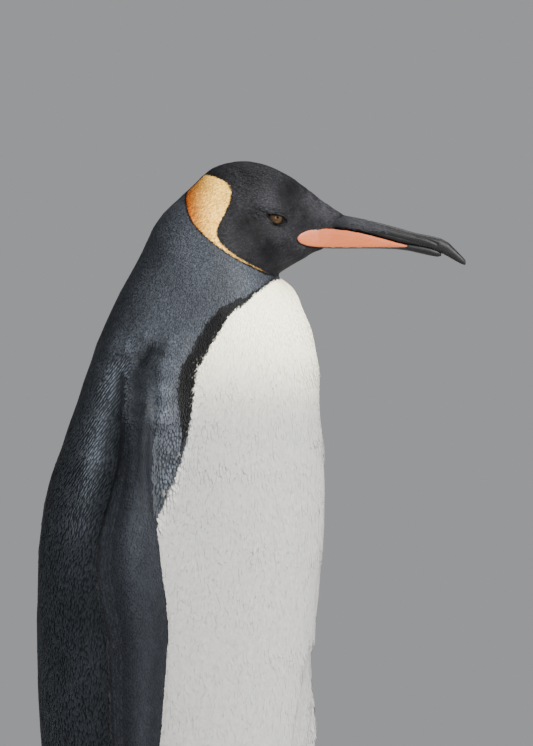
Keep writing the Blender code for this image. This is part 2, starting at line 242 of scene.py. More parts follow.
whiteArea = np.concatenate([markings["whiteEdge"], fromEye([(150, -760), (150, -58), (6, -57)])])
besideBand = markings["whiteEdge"][:, 1] > eyeZ - 279
bandArea = np.concatenate([markings["bandEdge"], markings["whiteEdge"][besideBand][::-1]])

tones = {
    "hood": (25, 25, 27), "patch": (150, 64, 9), "patchPale": (240, 188, 86),
    "white": (156, 155, 151), "chestCreamAndLit": (255, 249, 220), "band": (5, 5, 6),
    "neck": (52, 55, 60), "nape": (53, 56, 61), "back": (39, 42, 46),
    "flipper": (34, 36, 40), "flipperPale": (196, 195, 190), "leg": (52, 52, 54),
    "tail": (26, 27, 29), "foot": (38, 35, 34),
}
tones = {name: linear(colour) for name, colour in tones.items()}


# Painted highlights and painted shade on the plumage in the side view: x, z, radius, amount.
hoodLightAndShade = [(-9, 20, 13, 1.0), (-25, 43, 16, -0.25), (10, 27, 13, -0.72), (-31, -5, 13, -0.78),
              (-8, -31, 13, -0.55), (8, -15, 12, 0.7), (-40, 26, 13, 0.5), (46, 10, 14, 1.2),
              (31, 3, 8, -0.5), (8, -43, 8, 0.5), (28, -25, 9, 0.6), (33, 20, 8, 0.9),
              (-48, -12, 7, 0.45), (-19, -14, 9, -0.35), (-46, 2, 6, 0.4), (0, 41, 8, 0.3)]
backLightAndShade = [
    (-84, -80, 22, -0.1), (-97, -118, 9, 0.35), (-105, -140, 9, 0.6), (-107, -164, 8, 1.0),
    (-109, -187, 8, 1.5), (-114, -212, 6, 0.9), (-90, -166, 8, -0.4), (-91, -196, 6, -0.3),
    (-98, -215, 12, 0.85), (-101, -245, 13, 1.05), (-128, -138, 9, -0.4), (-137, -152, 11, -0.5),
    (-134, -164, 14, -0.5), (-140, -150, 9, -0.2), (-138, -182, 10, -0.3), (-123, -181, 6, -0.5),
    (-130, -200, 5, -0.35), (-138, -206, 9, -0.3), (-131, -186, 11, -0.5), (-125, -202, 8, -0.4),
    (-149, -190, 6, -0.5), (-151, -215, 6, -0.5), (-144, -119, 11, 1.1), (-128, -106, 9, 0.35),
    (-152, -124, 9, 0.6), (-124, -226, 5, -0.25), (-124, -246, 5, -0.25), (-156, -150, 14, 1.5),
    (-161, -174, 15, 2.0), (-168, -200, 16, 2.4), (-174, -226, 16, 2.3), (-181, -258, 17, 1.7),
    (-186, -292, 18, 0.9), (-188, -330, 20, 0.3), (-40, -48, 18, 0.15), (-121, -124, 6, -0.45),
    (-131, -130, 6, -0.45), (-143, -133, 6, -0.35),
]


# Multiplies the colour by painted highlights and painted shade.
def paintedLightAndShade(points, clouds):
    total = np.ones(len(points))
    for x, z, radius, amount in clouds:
        away = (points[:, 0] - eyeX - x) ** 2 + (points[:, 2] - eyeZ - z) ** 2
        total += amount * np.exp(-away / radius**2)
    return np.maximum(total, 0.38)[:, None]


# Where one colour of the plumage passes into the next, in millimetres. Heights and x are
# counted from the eye, and the others from an outline, over 0 inside it.
fades = {
    "neckPaleAndLit": (-330, -60), "neckSide": (-100, -20), "bandRear": (-1.5, 1.2), "bandLow": (-235, -205),
    "chestCreamAndLit": (-205, -80), "whiteRear": (-0.8, 0.8), "foldTop": (0.02, 0.3),
    "hoodRim": (-2.2, -0.6), "hoodRimLow": (-60, -40), "hood": (-0.7, 0.5),
    "nape": (7, 10), "patch": (-0.4, 0.4), "patchEnd": (-56, -22), "patchPale": (-90, -56),
}


def fade(name, values):
    return smoothStep(*fades[name], values)


def plumage(points):
    # Colour and paleness of the feather tips at these places, in millimetres.
    side = points[:, [0, 2]]
    x, z = side.T
    y = np.abs(points[:, 1])
    ragged = softNoise(points, 9) * 0.5 + softNoise(points, 3.5) * 0.6
    hood = signedDistance(side, hoodArea)
    patch = signedDistance(side, patchArea)
    white = signedDistance(side, whiteArea)
    band = signedDistance(side, bandArea)

    # Grey of the neck and back, paler up the neck and towards the front: partly the plumage's own grey,
    # partly a painted highlight from the light above and in front; darker behind and below.
    height = z - eyeZ
    neckPaleAndLit = fade("neckPaleAndLit", height + (x - eyeX) * 0.9 + 70)
    colour = mix(tones["back"], tones["nape"], neckPaleAndLit)
    colour = mix(colour, tones["neck"], neckPaleAndLit * fade("neckSide", x - eyeX + (height + 80) * 0.3))
    cloudy = softNoise(points, 60) * 0.12
    # painted highlights and painted shade on the back and shoulders
    colour = colour * (1 + cloudy[:, None]) * paintedLightAndShade(points, backLightAndShade)
    tips = 0.8 - 0.5 * neckPaleAndLit

    # Black band and white front.
    bandShare = fade("bandRear", band + ragged) * (0.55 + 0.45 * fade("bandLow", height))
    colour = mix(colour, tones["band"], bandShare)
    tips = tips * (1 - bandShare * 0.8)
    # the chest is paler than the belly, partly its own cream tint and partly a painted highlight from the
    # light above
    front = mix(tones["white"], tones["chestCreamAndLit"], fade("chestCreamAndLit", height))
    # painted shade along the belly fold, on its near side
    away, along = lineDistance(side, eyeLine(bellyFold[2]))
    paintedFoldShade = bell(away, 3.0) * fade("foldTop", along) * (points[:, 1] < 0)
    front = front * (1 - 0.16 * paintedFoldShade)[:, None]
    whiteShare = fade("whiteRear", white + ragged)
    colour = mix(colour, front, whiteShare)
    tips = tips * (1 - whiteShare)

    # Hood, with a thin dark edge under the ear patch.
    edge = fade("hoodRim", hood) * fade("hoodRimLow", height + 10)
    colour = mix(colour, tones["band"], edge * (1 - whiteShare))
    hoodShare = fade("hood", hood)
    # the hood carries painted highlights and painted shade
    hoodColour = tones["hood"] * paintedLightAndShade(points, hoodLightAndShade) * (1 + 0.12 * softNoise(points, 15)[:, None])
    colour = mix(colour, hoodColour, hoodShare)
    tips = tips * (1 - hoodShare * 0.75)
    nape = fade("nape", y + ragged * 0.6)
    patchShare = fade("patch", patch - 0.2 + ragged * 0.08) * nape
    patchShare *= 1 - 0.8 * fade("patchEnd", x - eyeX)
    patchColour = mix(tones["patch"], tones["patchPale"], fade("patchPale", x - eyeX))
    colour = mix(colour, patchColour, patchShare)
    tips = tips * (1 - patchShare)
    return colour, tips


flipperRim = {}  # height, rear edge and front edge of the flippers, measured on the skin
# Painted highlights and painted shade of the flipper, its pale lines and rim, and its forms: where across it
# (0 is its rear edge), half width and amount.
flipperLook = {
    "base": 0.82, "ridgeHighlight": (0.6, 0.2, 0.62), "hollowShade": (0.27, 0.13, 0.3),
    "lines": (0.11, 0.17, 0.24), "lineWidth": 0.016, "linePaler": 0.3,
    "ridge": (0.62, 0.17, 1.5), "hollow": (0.3, 0.13, 1.1),
    "paleRim": (0.04, 0.015), "paleAmount": 0.04,
    # the painted highlight on the swelling by its height over the floor, the painted shade on the strip by x
    # from the eye, the painted highlight at the elbow by both
    "swelling": (495, 26, 0.25), "armStripShade": (-130, 3.6, 0.4), "lowShade": 0.14,
    "elbowHighlight": (0.9, 0.1, 448, 22, 0.22),
}


def measureFlipper(points, isFlipper):
    points = points[isFlipper & (points[:, 1] < 0)]
    heights = np.arange(points[:, 2].min() + 1, points[:, 2].max(), 4.0)
    near = [points[np.abs(points[:, 2] - height) < 4, 0] for height in heights]
    flipperRim.update(height=heights, rear=np.array([x.min() for x in near]),
                      front=np.array([x.max() for x in near]))


def acrossFlipper(points):
    # 0 at the rear edge of the flipper, 1 at its front edge.
    rear, front = (np.interp(points[:, 2], flipperRim["height"], flipperRim[edge])
                   for edge in ("rear", "front"))
    return (points[:, 0] - rear) / np.maximum(front - rear, 1)


def flipperColour(points, normals, side):
    # Slate outside with pale edges and faint lines along the rear edge, white inside. Painted highlights lie
    # on the ridge, the swelling and the elbow, and painted shade in the hollow and on a strip of the upper
    # arm; it is darker low down.
    z = points[:, 2]
    across = acrossFlipper(points)
    # painted highlights on the ridge, the swelling and the elbow, painted shade on the arm strip and in the
    # hollow
    middle, width, amount = flipperLook["ridgeHighlight"]
    shade = flipperLook["base"] + amount * bell(across - middle, width) * smoothStep(570, 500, z)
    height, width, amount = flipperLook["swelling"]
    shade *= 1 + amount * bell(z - height, width) * smoothStep(0.2, 0.5, across)
    forward, width, amount = flipperLook["armStripShade"]
    shade *= 1 - amount * bell(points[:, 0] - eyeX - forward, width) * smoothStep(525, 560, z)
    shade *= 1 - flipperLook["lowShade"] * smoothStep(470, 400, z)
    middle, width, amount = flipperLook["hollowShade"]
    shade *= 1 - amount * bell(across - middle, width) * smoothStep(600, 560, z)
    middle, width, height, reach, amount = flipperLook["elbowHighlight"]
    shade *= 1 + amount * bell(across - middle, width) * bell(z - height, reach)
    for line in flipperLook["lines"]:
        shade += flipperLook["linePaler"] * bell(across - line, flipperLook["lineWidth"])
    slate = tones["flipper"] * (shade * (1 + 0.07 * softNoise(points, 14)))[:, None]
    pale = smoothStep(*flipperLook["paleRim"], across) * smoothStep(540, 470, z) * flipperLook["paleAmount"]
    slate = mix(slate, tones["flipperPale"], pale)
    # the upper arm lies against the body, so that no pale side shows
    outside = np.maximum(smoothStep(-0.25, 0.15, normals[:, 1] * side), smoothStep(520, 550, z))
    inner = mix(tones["flipperPale"], tones["flipper"], smoothStep(300, 262, z) * 0.85)
    inner = mix(tones["flipper"], inner, smoothStep(0.03, 0.1, across))
    return mix(inner, slate, outside), 0.2 * outside


# Materials.

def addNode(tree, kind, settings=None, **links):
    # A node with settings by attribute and inputs by name: a socket is linked, a value is set.
    node = tree.nodes.new(kind)
    for key, value in (settings or {}).items():
        setattr(node, key, value)
    for key, value in links.items():
        socket = node.inputs[int(key[1:])] if key[0] == "i" and key[1:].isdigit() else node.inputs[key]
        if isinstance(value, bpy.types.NodeSocket):
            tree.links.new(value, socket)
        else:
            socket.default_value = value
    return node


def ranged(tree, value, low, high):
    # The value from 0 to 1 as a value from low to high.
    node = addNode(tree, "ShaderNodeMapRange", Value=value)
    node.inputs["To Min"].default_value = low
    node.inputs["To Max"].default_value = high
    return node.outputs["Result"]


def newMaterial(name, **constants):
    material = bpy.data.materials.new(name)
    material.use_nodes = True
    tree = material.node_tree
    shader = tree.nodes["Principled BSDF"]
    for key, value in constants.items():
        shader.inputs[key].default_value = value
    return material, tree, shader


def newGroup(name, inputs, outputs):
    # A node group with these sockets. Gives its tree, what it takes in and what it puts out.
    tree = bpy.data.node_groups.new(name, "ShaderNodeTree")
    for way, sockets in (("INPUT", inputs), ("OUTPUT", outputs)):
        for label, kind in sockets.items():
            tree.interface.new_socket(label, in_out=way, socket_type="NodeSocket" + kind)
    taken = tree.nodes.new("NodeGroupInput").outputs
    given = tree.nodes.new("NodeGroupOutput").inputs
    return tree, taken, given


def roughened(tree, value, base, change):
    # The base roughness, up and down by this much with the value.
    wander = ranged(tree, value, -change, change)
    return addNode(tree, "ShaderNodeMath", {"operation": "ADD"}, i0=base, i1=wander).outputs["Value"]


def makeBarbs():
    # Cloudy tone and the fine barbs along each vane.
    tree, taken, given = newGroup(
        "barbs", {"Tone": "Color", "Roughness": "Float", "Barb Scale": "Float", "Barb Depth": "Float"},
        {"Color": "Color", "Roughness": "Float", "Normal": "Vector"})
    coords = addNode(tree, "ShaderNodeTexCoord").outputs["Object"]
    cloud = addNode(tree, "ShaderNodeTexNoise", Vector=coords, Scale=240.0)
    shade = ranged(tree, cloud.outputs["Fac"], 0.86, 1.14)
    tinted = addNode(tree, "ShaderNodeVectorMath", {"operation": "SCALE"}, Vector=taken["Tone"], Scale=shade)
    tree.links.new(tinted.outputs["Vector"], given["Color"])
    fine = addNode(tree, "ShaderNodeTexNoise", Vector=coords, Scale=taken["Barb Scale"]).outputs["Fac"]
    tree.links.new(roughened(tree, fine, taken["Roughness"], 0.07), given["Roughness"])
    bump = addNode(tree, "ShaderNodeBump", Height=fine, Distance=taken["Barb Depth"])
    tree.links.new(bump.outputs["Normal"], given["Normal"])
    return tree


barbs = makeBarbs()


def fed(tree, shader, effect):
    # Links what a placed group puts out to the shader.
    for label, socket in (("Color", "Base Color"), ("Roughness", "Roughness"), ("Normal", "Normal")):
        tree.links.new(effect.outputs[label], shader.inputs[socket])


def plumageMaterial(name, roughness, gloss, scale, depth):
    # Colour from the piece's own attribute, with the barbs on it.
    material, tree, shader = newMaterial(name, **{"Specular IOR Level": gloss})
    tone = addNode(tree, "ShaderNodeAttribute", {"attribute_name": "tone"})
    fed(tree, shader, addNode(tree, "ShaderNodeGroup", {"node_tree": barbs}, **{
        "Tone": tone.outputs["Color"], "Roughness": roughness, "Barb Scale": scale, "Barb Depth": depth}))
    return material


# The skin.

skin = {
    "voxel": 1.8 * mm, "fatten": 0.35 * mm, "mostTriangles": 160000, "frontEdge": 3.4,
    "flesh": ["head", "neck", "trunk", "tail", "flipper_left", "flipper_right", "leg_left",
              "leg_right", "foot_left", "foot_right"],
    "fillers": ["bill_upper", "bill_lower", "plate_left", "plate_right", "eye_left", "eye_right"],
    "cutSpot": (0.081, 0, 0.782), "cutNormal": (0.82, 0, -0.57),
    # how far a filler grows past its own solid, and from which share a point near a part is its own
    "fillerGrowth": {"plate": -1.0, "eye": -1.6, "bill": 0.3}, "partReach": 4.0, "partShare": 0.55,
    "relaxSteps": 120, "giveBack": 60, "headRelax": 0.12, "edgeRelax": 0.03, "lobesKept": 0.9,
    # how far the skin lies under the feather tips, in millimetres
    "coatDepth": {"trunk": 1.1, "neck": 0.7, "head": 0.5, "flipper": 0.4, "leg": 1.0, "tail": 1.8},
}


def addGrown(bm, node, by, cut=None):
    # Adds a merged copy of a node, pushed outwards, and cut off in front of a plane.
    part = mergedCopy(node)
    for vert, place in [(v, v.co + v.normal * by) for v in part.verts]:
        vert.co = place
    if cut:
        spot, normal = cut
        made = bmesh.ops.bisect_plane(
            part, geom=part.verts[:] + part.edges[:] + part.faces[:],
            plane_co=spot, plane_no=normal, clear_outer=True)
        rim = [e for e in made["geom_cut"] if isinstance(e, bmesh.types.BMEdge)]
        if rim:
            bmesh.ops.holes_fill(part, edges=rim)
    mesh = bpy.data.meshes.new("copy")
    part.to_mesh(mesh)
    part.free()
    bm.from_mesh(mesh)
    bpy.data.meshes.remove(mesh)


def modified(mesh, *stages):
    # The mesh after these modifiers, each given as a kind and its settings.
    piece = bpy.data.objects.new("work", mesh)
    bpy.context.scene.collection.objects.link(piece)
    for groupName, weights in stages[0] if isinstance(stages[0], list) else []:
        made = piece.vertex_groups.new(name=groupName)
        for level in range(1, 11):
            chosen = np.flatnonzero(np.round(weights * 10).astype(int) == level)
            if len(chosen):
                made.add(chosen.tolist(), level / 10, "REPLACE")
    for kind, settings in [s for s in stages if isinstance(s, tuple)]:
        modifier = piece.modifiers.new(kind.lower(), kind)
        for key, value in settings.items():
            setattr(modifier, key, value)
    graph = bpy.context.evaluated_depsgraph_get()
    made = bpy.data.meshes.new_from_object(piece.evaluated_get(graph))
    bpy.data.objects.remove(piece)
    return made


def nearness(points, nodes, reach):
    # 1 on the surface of these nodes, falling to 0 this many millimetres away.
    share = np.zeros(len(points))
    for node in nodes:
        low, high = np.array(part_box(node)) / mm
        close = np.flatnonzero(np.all((points > low - reach) & (points < high + reach), axis=1))
        part = mergedCopy(node)
        tree = BVHTree.FromBMesh(part)
        part.free()
        places = (points[close] * mm).tolist()
        away = np.array([tree.find_nearest(place)[3] for place in places])
        share[close] = np.maximum(share[close], np.clip(1 - away / mm / reach, 0, 1))
    return share


def edgePairs(mesh):
    ends = np.empty(len(mesh.edges) * 2, np.int32)
    mesh.edges.foreach_get("vertices", ends)
    return ends.reshape(-1, 2).T


def relaxed(values, pairs, weights, times):
    # Evens out values over a mesh, each point by its own weight.
    a, b = pairs
    count = np.bincount(a, minlength=len(values)) + np.bincount(b, minlength=len(values))
    flat = values.reshape(len(values), -1).copy()
    for _ in range(times):
        mean = np.stack([
            np.bincount(a, flat[b, k], len(flat)) + np.bincount(b, flat[a, k], len(flat))
            for k in range(flat.shape[1])], axis=1) / count[:, None]
        flat += (mean - flat) * np.asarray(weights)[..., None] * 0.6
    return flat.reshape(values.shape)


def remeshedFlesh():
    bm = bmesh.new()
    for node in skin["flesh"]:
        addGrown(bm, node, skin["fatten"])
    cut = Vector(skin["cutSpot"]), Vector(skin["cutNormal"]).normalized()
    for node in skin["fillers"]:  # fill the sockets that the eyes and the bill leave
        addGrown(bm, node, skin["fillerGrowth"][node.split("_")[0]] * mm, cut)
    mesh = bpy.data.meshes.new("flesh")
    bm.to_mesh(mesh)
    bm.free()
    fine = modified(mesh, ("REMESH", {"mode": "VOXEL", "voxel_size": skin["voxel"]}))
    points = pointsOf(fine) / mm
    keep = smoothStep(-80, -20, points[:, 0] - eyeX + (points[:, 2] - eyeZ) * 0.8 + 60)
    keep = np.maximum(keep, smoothStep(40, 25, points[:, 2]))
    triangles = len(fine.polygons) * 2
    share = skin["mostTriangles"] / triangles
    print("skin: fine mesh of", triangles, "triangles", flush=True)
    return modified(fine, [("thinned", 1 - keep)], ("DECIMATE", {
        "ratio": share, "vertex_group": "thinned", "vertex_group_factor": 0.6,
        "use_collapse_triangulate": True}))


print("skin: remeshing", flush=True)
skinMesh = remeshedFlesh()
skinPoints = pointsOf(skinMesh) / mm
skinPairs = edgePairs(skinMesh)
print("skin: sorting", len(skinPoints), "points", flush=True)
parts = {
    "head": ["head", "bill_upper", "bill_lower"], "flipper": ["flipper_left", "flipper_right"],
    "tail": ["tail"], "leg": ["leg_left", "leg_right"], "foot": ["foot_left", "foot_right"],
    "neck": ["neck"],
}
share = {part: (nearness(skinPoints, nodes, skin["partReach"]) > skin["partShare"]).astype(float)
         for part, nodes in parts.items()}
share["flipper"] *= 1 - share["tail"]
whole = np.ones(len(skinPoints))
share = {part: relaxed(value, skinPairs, whole, 6) for part, value in share.items()}
lowArm = share["flipper"] * smoothStep(eyeZ - 150, eyeZ - 200, skinPoints[:, 2])
lobes = smoothStep(410, 380, skinPoints[:, 2]) * smoothStep(5, 25, skinPoints[:, 0])
lobes *= skin["lobesKept"] * (1 - share["foot"]) * (1 - share["leg"])
thin = np.clip(lowArm + share["foot"] + share["tail"] + lobes, 0, 1)
weight = 1 - np.clip(thin, 0, 1 - skin["edgeRelax"]) - share["head"] * (1 - skin["headRelax"])
weight = np.clip(weight, skin["edgeRelax"], 1)
evened = relaxed(skinPoints, skinPairs, weight, skin["relaxSteps"])
# evening the surface out also draws it in, so its broad form is given back
skinPoints = evened + relaxed(skinPoints - evened, skinPairs, whole, skin["giveBack"])
setPoints(skinMesh, skinPoints * mm)

# Folds and swellings, as lines in the side view counted from the eye: height, half width, line.
folds = {
    "shoulder crease": (-6.5, 4.2, [(-111, -114), (-119, -122), (-128, -129), (-144, -139)]),
    "over the crease": (3.2, 8.0, [(-104, -104), (-122, -110), (-140, -120), (-153, -134)]),
    "hollow of the shoulder": (-5.0, 12.0, [(-124, -132), (-132, -146), (-134, -162), (-132, -180),
                                            (-127, -202)]),
    "arm joint": (0.9, 4.0, [(-143, -136), (-147, -162), (-149, -186)]),
    "arm hollow": (1.2, 4.0, [(-125, -190), (-123.5, -215), (-123, -250), (-124, -290)]),
    "behind the arm": (-2.2, 5.5, [(-149, -188), (-150, -212), (-152, -238), (-153.5, -264)]),
    "back swelling": (4.5, 12.0, [(-150, -138), (-160, -164), (-170, -202), (-180, -241), (-186, -290)]),
    "shoulder ridge": (7.5, 8.5, [(-84, -100), (-93, -116), (-105, -139), (-105, -164), (-107, -194),
                                  (-112, -224)]),
    "brow": (1.2, 5.5, [(14, 4), (0, 9), (-14, 12), (-26, 16)]),
    "behind the eye": (-2.0, 6.5, [(-18, 5), (-30, 2), (-36, -8)]),
    "cheek": (1.6, 8.0, [(14, -14), (-2, -20), (-14, -26)]),
    "jaw": (-1.4, 5.0, [(24, -22), (6, -33), (-10, -42)]),
    "lore": (-1.4, 6.0, [(14, 8), (30, 8), (46, 3)]),
    "forehead": (-1.3, 8.0, [(4, 26), (16, 24), (28, 17)]),
    "hood edge": (-0.9, 1.6, [(-82, 10), (-76, -10), (-51, -31), (-21, -48), (-3, -57)]),
}


bellyFold = (-4.6, 3.4, [(36, -404), (33.5, -418), (30.5, -434), (26.5, -456), (22, -479), (18.5, -500),
                         (12.5, -540), (6.5, -590)])
bellyFront = {
    "notch": (-4.2, 14.0, (42, -419)), "lobe": (1.9, 14.0, (42, -458)), "low": (1.7, 22.0, (42, -485)),
}


def folded(points, normals):
    side = points[:, [0, 2]]
    flank = smoothStep(0.25, 0.6, np.abs(normals[:, 1]))
    total = np.zeros(len(points))
    for height, halfWidth, line in folds.values():
        away, along = lineDistance(side, eyeLine(line))
        taper = np.clip(np.minimum(along, 1 - along) * 5, 0.15, 1)
        total += height * taper * flank * bell(away, halfWidth)
    total *= 1 - share["flipper"] * smoothStep(eyeZ - 190, eyeZ - 235, points[:, 2])
    # the near edge of the belly fold, low down at the front
    height, halfWidth, line = bellyFold
    away, along = lineDistance(side, eyeLine(line))
    taper = np.clip(np.minimum(along * 4, (1 - along) * 2.5), 0, 1)
    total += height * taper * (points[:, 1] < 0) * bell(away, halfWidth)
    for height, halfWidth, middle in bellyFront.values():
        away = np.linalg.norm((side - fromEye([middle])) * (1.3, 1), axis=1)
        total += height * bell(away, halfWidth) * smoothStep(0.2, 0.7, normals[:, 0])
    return total


def nearFold(points, reach):
    # 1 on the belly fold, falling to 0 this many millimetres off it.
    away = lineDistance(points[:, [0, 2]], eyeLine(bellyFold[2]))[0]
    return np.clip(1 - away / reach, 0, 1) * (points[:, 1] < 10)


def refine(chosen, shortest, radii):
    # Splits the skin's edges where a test of their middles holds, and carries the shares over.
    global skinPoints, skinPairs, whole
    for name in share:
        layer = skinMesh.attributes.new(name, "FLOAT", "POINT")
        layer.data.foreach_set("value", share[name].astype(np.float32))
    bm = bmesh.new()
    bm.from_mesh(skinMesh)
    for radius in radii:
        middles = np.array([(edge.verts[0].co + edge.verts[1].co) / 2 / mm for edge in bm.edges])
        lengths = np.array([edge.calc_length() for edge in bm.edges]) / mm
        split = chosen(middles, radius) & (lengths > shortest)
        edges = [edge for edge, wanted in zip(bm.edges, split) if wanted]
        bmesh.ops.subdivide_edges(bm, edges=edges, cuts=1, use_grid_fill=True)
        bmesh.ops.triangulate(bm, faces=[f for f in bm.faces if len(f.verts) > 3])
    bm.to_mesh(skinMesh)
    bm.free()
    skinMesh.update()
    skinPoints = pointsOf(skinMesh) / mm
    skinPairs = edgePairs(skinMesh)
    whole = np.ones(len(skinPoints))
    for name in share:
        values = np.empty(len(skinPoints), np.float32)
        skinMesh.attributes[name].data.foreach_get("value", values)
        share[name] = values.astype(float)
    for name in share:
        skinMesh.attributes.remove(skinMesh.attributes[name])


refine(lambda places, radius: nearFold(places, radius) > 0, 1.1, (9.0, 8.0))
normals = normalsOf(skinMesh)
depth = np.full(len(skinPoints), skin["coatDepth"]["trunk"])
for part in ("neck", "head", "leg", "tail", "flipper"):
    depth += (skin["coatDepth"][part] - depth) * share[part]
depth *= 1 - share["foot"]
shift = folded(skinPoints, normals) - depth
skinPoints += normals * relaxed(shift, skinPairs, 1 - nearFold(skinPoints, 6.0), 4)[:, None]


def thinnedOntoBill(points):
    # Brings the front edge of the head down to the bill and the plates, so that no step shows.
    part = mergedCopy("bill_upper")
    tree = BVHTree.FromBMesh(part)
    part.free()
    points = points - normals * (0.9 * nearness(points, ["plate_left", "plate_right"], 4.0))[:, None]
    amounts = smoothStep(eyeX + 40, eyeX + 64, points[:, 0])
    amounts *= smoothStep(eyeZ - 15, eyeZ - 9, points[:, 2]) * 0.95
    for i in np.flatnonzero(amounts > 0.01):
        spot, normal, face, away = tree.find_nearest((points[i] * mm).tolist())
        if (Vector(points[i] * mm) - spot).dot(normal) > 0:
            above = 0.15 - 1.4 * smoothStep(eyeX + 51, eyeX + 61, points[i, 0])
            target = (np.array(spot) + np.array(normal) * above * mm) / mm
            points[i] = points[i] * (1 - amounts[i]) + target * amounts[i]
    return points


def flipperForms(points, normals):
    # A low ridge down the outside of the flipper, with a hollow behind it.
    z = points[:, 2]
    across = acrossFlipper(points)
    ridge, hollow = flipperLook["ridge"], flipperLook["hollow"]
    form = ridge[2] * bell(across - ridge[0], ridge[1]) - hollow[2] * bell(across - hollow[0], hollow[1])
    outside = smoothStep(0.3, 0.7, normals[:, 1] * np.sign(points[:, 1]))
    form *= outside * share["flipper"] * smoothStep(570, 520, z)
    points = points + normals * form[:, None]
    # the relaxing has drawn the front edge in
    points[:, 0] += skin["frontEdge"] * np.clip(across, 0, 1) * share["flipper"] * smoothStep(540, 480, z)
    return points


# The line of the forehead down to the bill, counted from the eye, and how deep it reaches.
forehead = {
    "line": [(20, 37.4), (29.7, 30.5), (36.6, 25), (42, 20.8), (48.9, 16.1), (55.7, 11.3),
             (61.2, 7.2), (66.7, 3.6), (74, 1.4)],
    "feathers": 0.7, "reach": 15.0,
}


def raisedForehead(points):
    line = fromEye(forehead["line"])
    slot = np.round(points[:, 0]).astype(int)
    inRange = (points[:, 0] > line[0, 0]) & (points[:, 0] < line[-1, 0]) & (points[:, 2] > eyeZ - 20)
    top = {i: points[inRange & (abs(slot - i) <= 1), 2].max() for i in np.unique(slot[inRange])}
    xs = np.array(sorted(top))
    present = np.interp(points[:, 0], xs, [top[i] for i in xs])
    wanted = np.interp(points[:, 0], line[:, 0], line[:, 1]) - forehead["feathers"]
    ends = smoothStep(line[0, 0], line[0, 0] + 10, points[:, 0])
    raised = (wanted - present) * ends * smoothStep(present - forehead["reach"], present - 1, points[:, 2])
    points[:, 2] += np.where(inRange, raised, 0)
    return relaxed(points, skinPairs, (inRange & (points[:, 0] > eyeX + 30)) * 0.8, 6)


measureFlipper(skinPoints, share["flipper"] > 0.6)
skinPoints = flipperForms(skinPoints, normals)
skinPoints = thinnedOntoBill(skinPoints)
skinPoints = raisedForehead(skinPoints)
setPoints(skinMesh, skinPoints * mm)

# Eyes and lids.

lids = {
    "middle": (0.2, 2.1), "turn": -17.4, "margin": 0.9, "fade": 6.5, "sinkBy": 2.0, "cell": 19.0,
    "opening": [(-10.3, 0.1), (-7.6, 0.2), (-5.4, 0.4), (-2.6, 0.9), (-0.6, 1.3), (1.8, 1.7), (5.0, 1.9),
                (7.3, 1.1), (9.0, 0.1), (11.0, -0.9), (8.4, -1.8), (6.4, -3.2), (4.6, -5.0), (2.6, -6.3),
                (-0.5, -6.4), (-3.4, -5.6), (-6.3, -3.8), (-8.6, -1.5)],
    "wrinkles": [(-0.75, 0.8, [(-16.5, 9.6), (-14.1, 6), (-10.8, 3.4), (-8.7, 0.4), (-5.8, -2.9)]),
                 (-0.6, 0.9, [(-19.2, 7), (-17.6, 3.2), (-14.6, -0.4)]),
                 (-0.7, 0.7, [(-7.6, -3.9), (-3.4, -5.9), (2.8, -6.9), (6.2, -5.4)]),
                 (-0.4, 0.8, [(-8.5, 8.8), (0, 7.2), (6.5, 5.2), (10.5, 2)])],
    # how far the upper lid and the crease above it lie off the opening, their width and height
    "overhang": (2.0, 1.8, 0.8), "crease": (4.6, 1.1, 0.35), "lineDepth": 1.0, "lineWidth": 1.2,
    "bare": 1.1, "lineBack": [(-10.2, 0.4), (-21, 1.1), (-33.7, 2.5)],
}


def lidPlaces(points):
    # Side view places along and across the lids' own line, from the middle of the opening.
    turn = math.radians(lids["turn"])
    dx = points[:, 0] - eyeX - lids["middle"][0]
    dz = points[:, 2] - eyeZ - lids["middle"][1]
    return np.stack([dx * math.cos(turn) + dz * math.sin(turn),
                     dz * math.cos(turn) - dx * math.sin(turn)], axis=1)


def closedRounded(outline, times=3):
    points = np.array(outline, float)
    for _ in range(times):
        after = np.roll(points, -1, axis=0)
        points = np.stack([points * 0.75 + after * 0.25, points * 0.25 + after * 0.75], 1).reshape(-1, 2)
    return points


def openingDistance(points):
    # Over 0 inside the opening between the lids, in millimetres; far off the eye it is just low.
    away = np.full(len(points), -30.0)
    close = (np.hypot(points[:, 0] - eyeX, points[:, 2] - eyeZ) < 26) & (np.abs(points[:, 1]) > 18)
    away[close] = signedDistance(lidPlaces(points[close]), closedRounded(lids["opening"]))
    return away


shareNames = list(share)


def nearLids(places, radius):
    near = np.hypot(places[:, 0] - eyeX, places[:, 2] - eyeZ) < radius
    return near & (np.abs(places[:, 1]) > 22)


refine(nearLids, 0.55, (lids["cell"], lids["cell"] * 0.7))
nearEye = openingDistance(skinPoints) > -12
skinPoints = relaxed(skinPoints, skinPairs, nearEye.astype(float), 4)


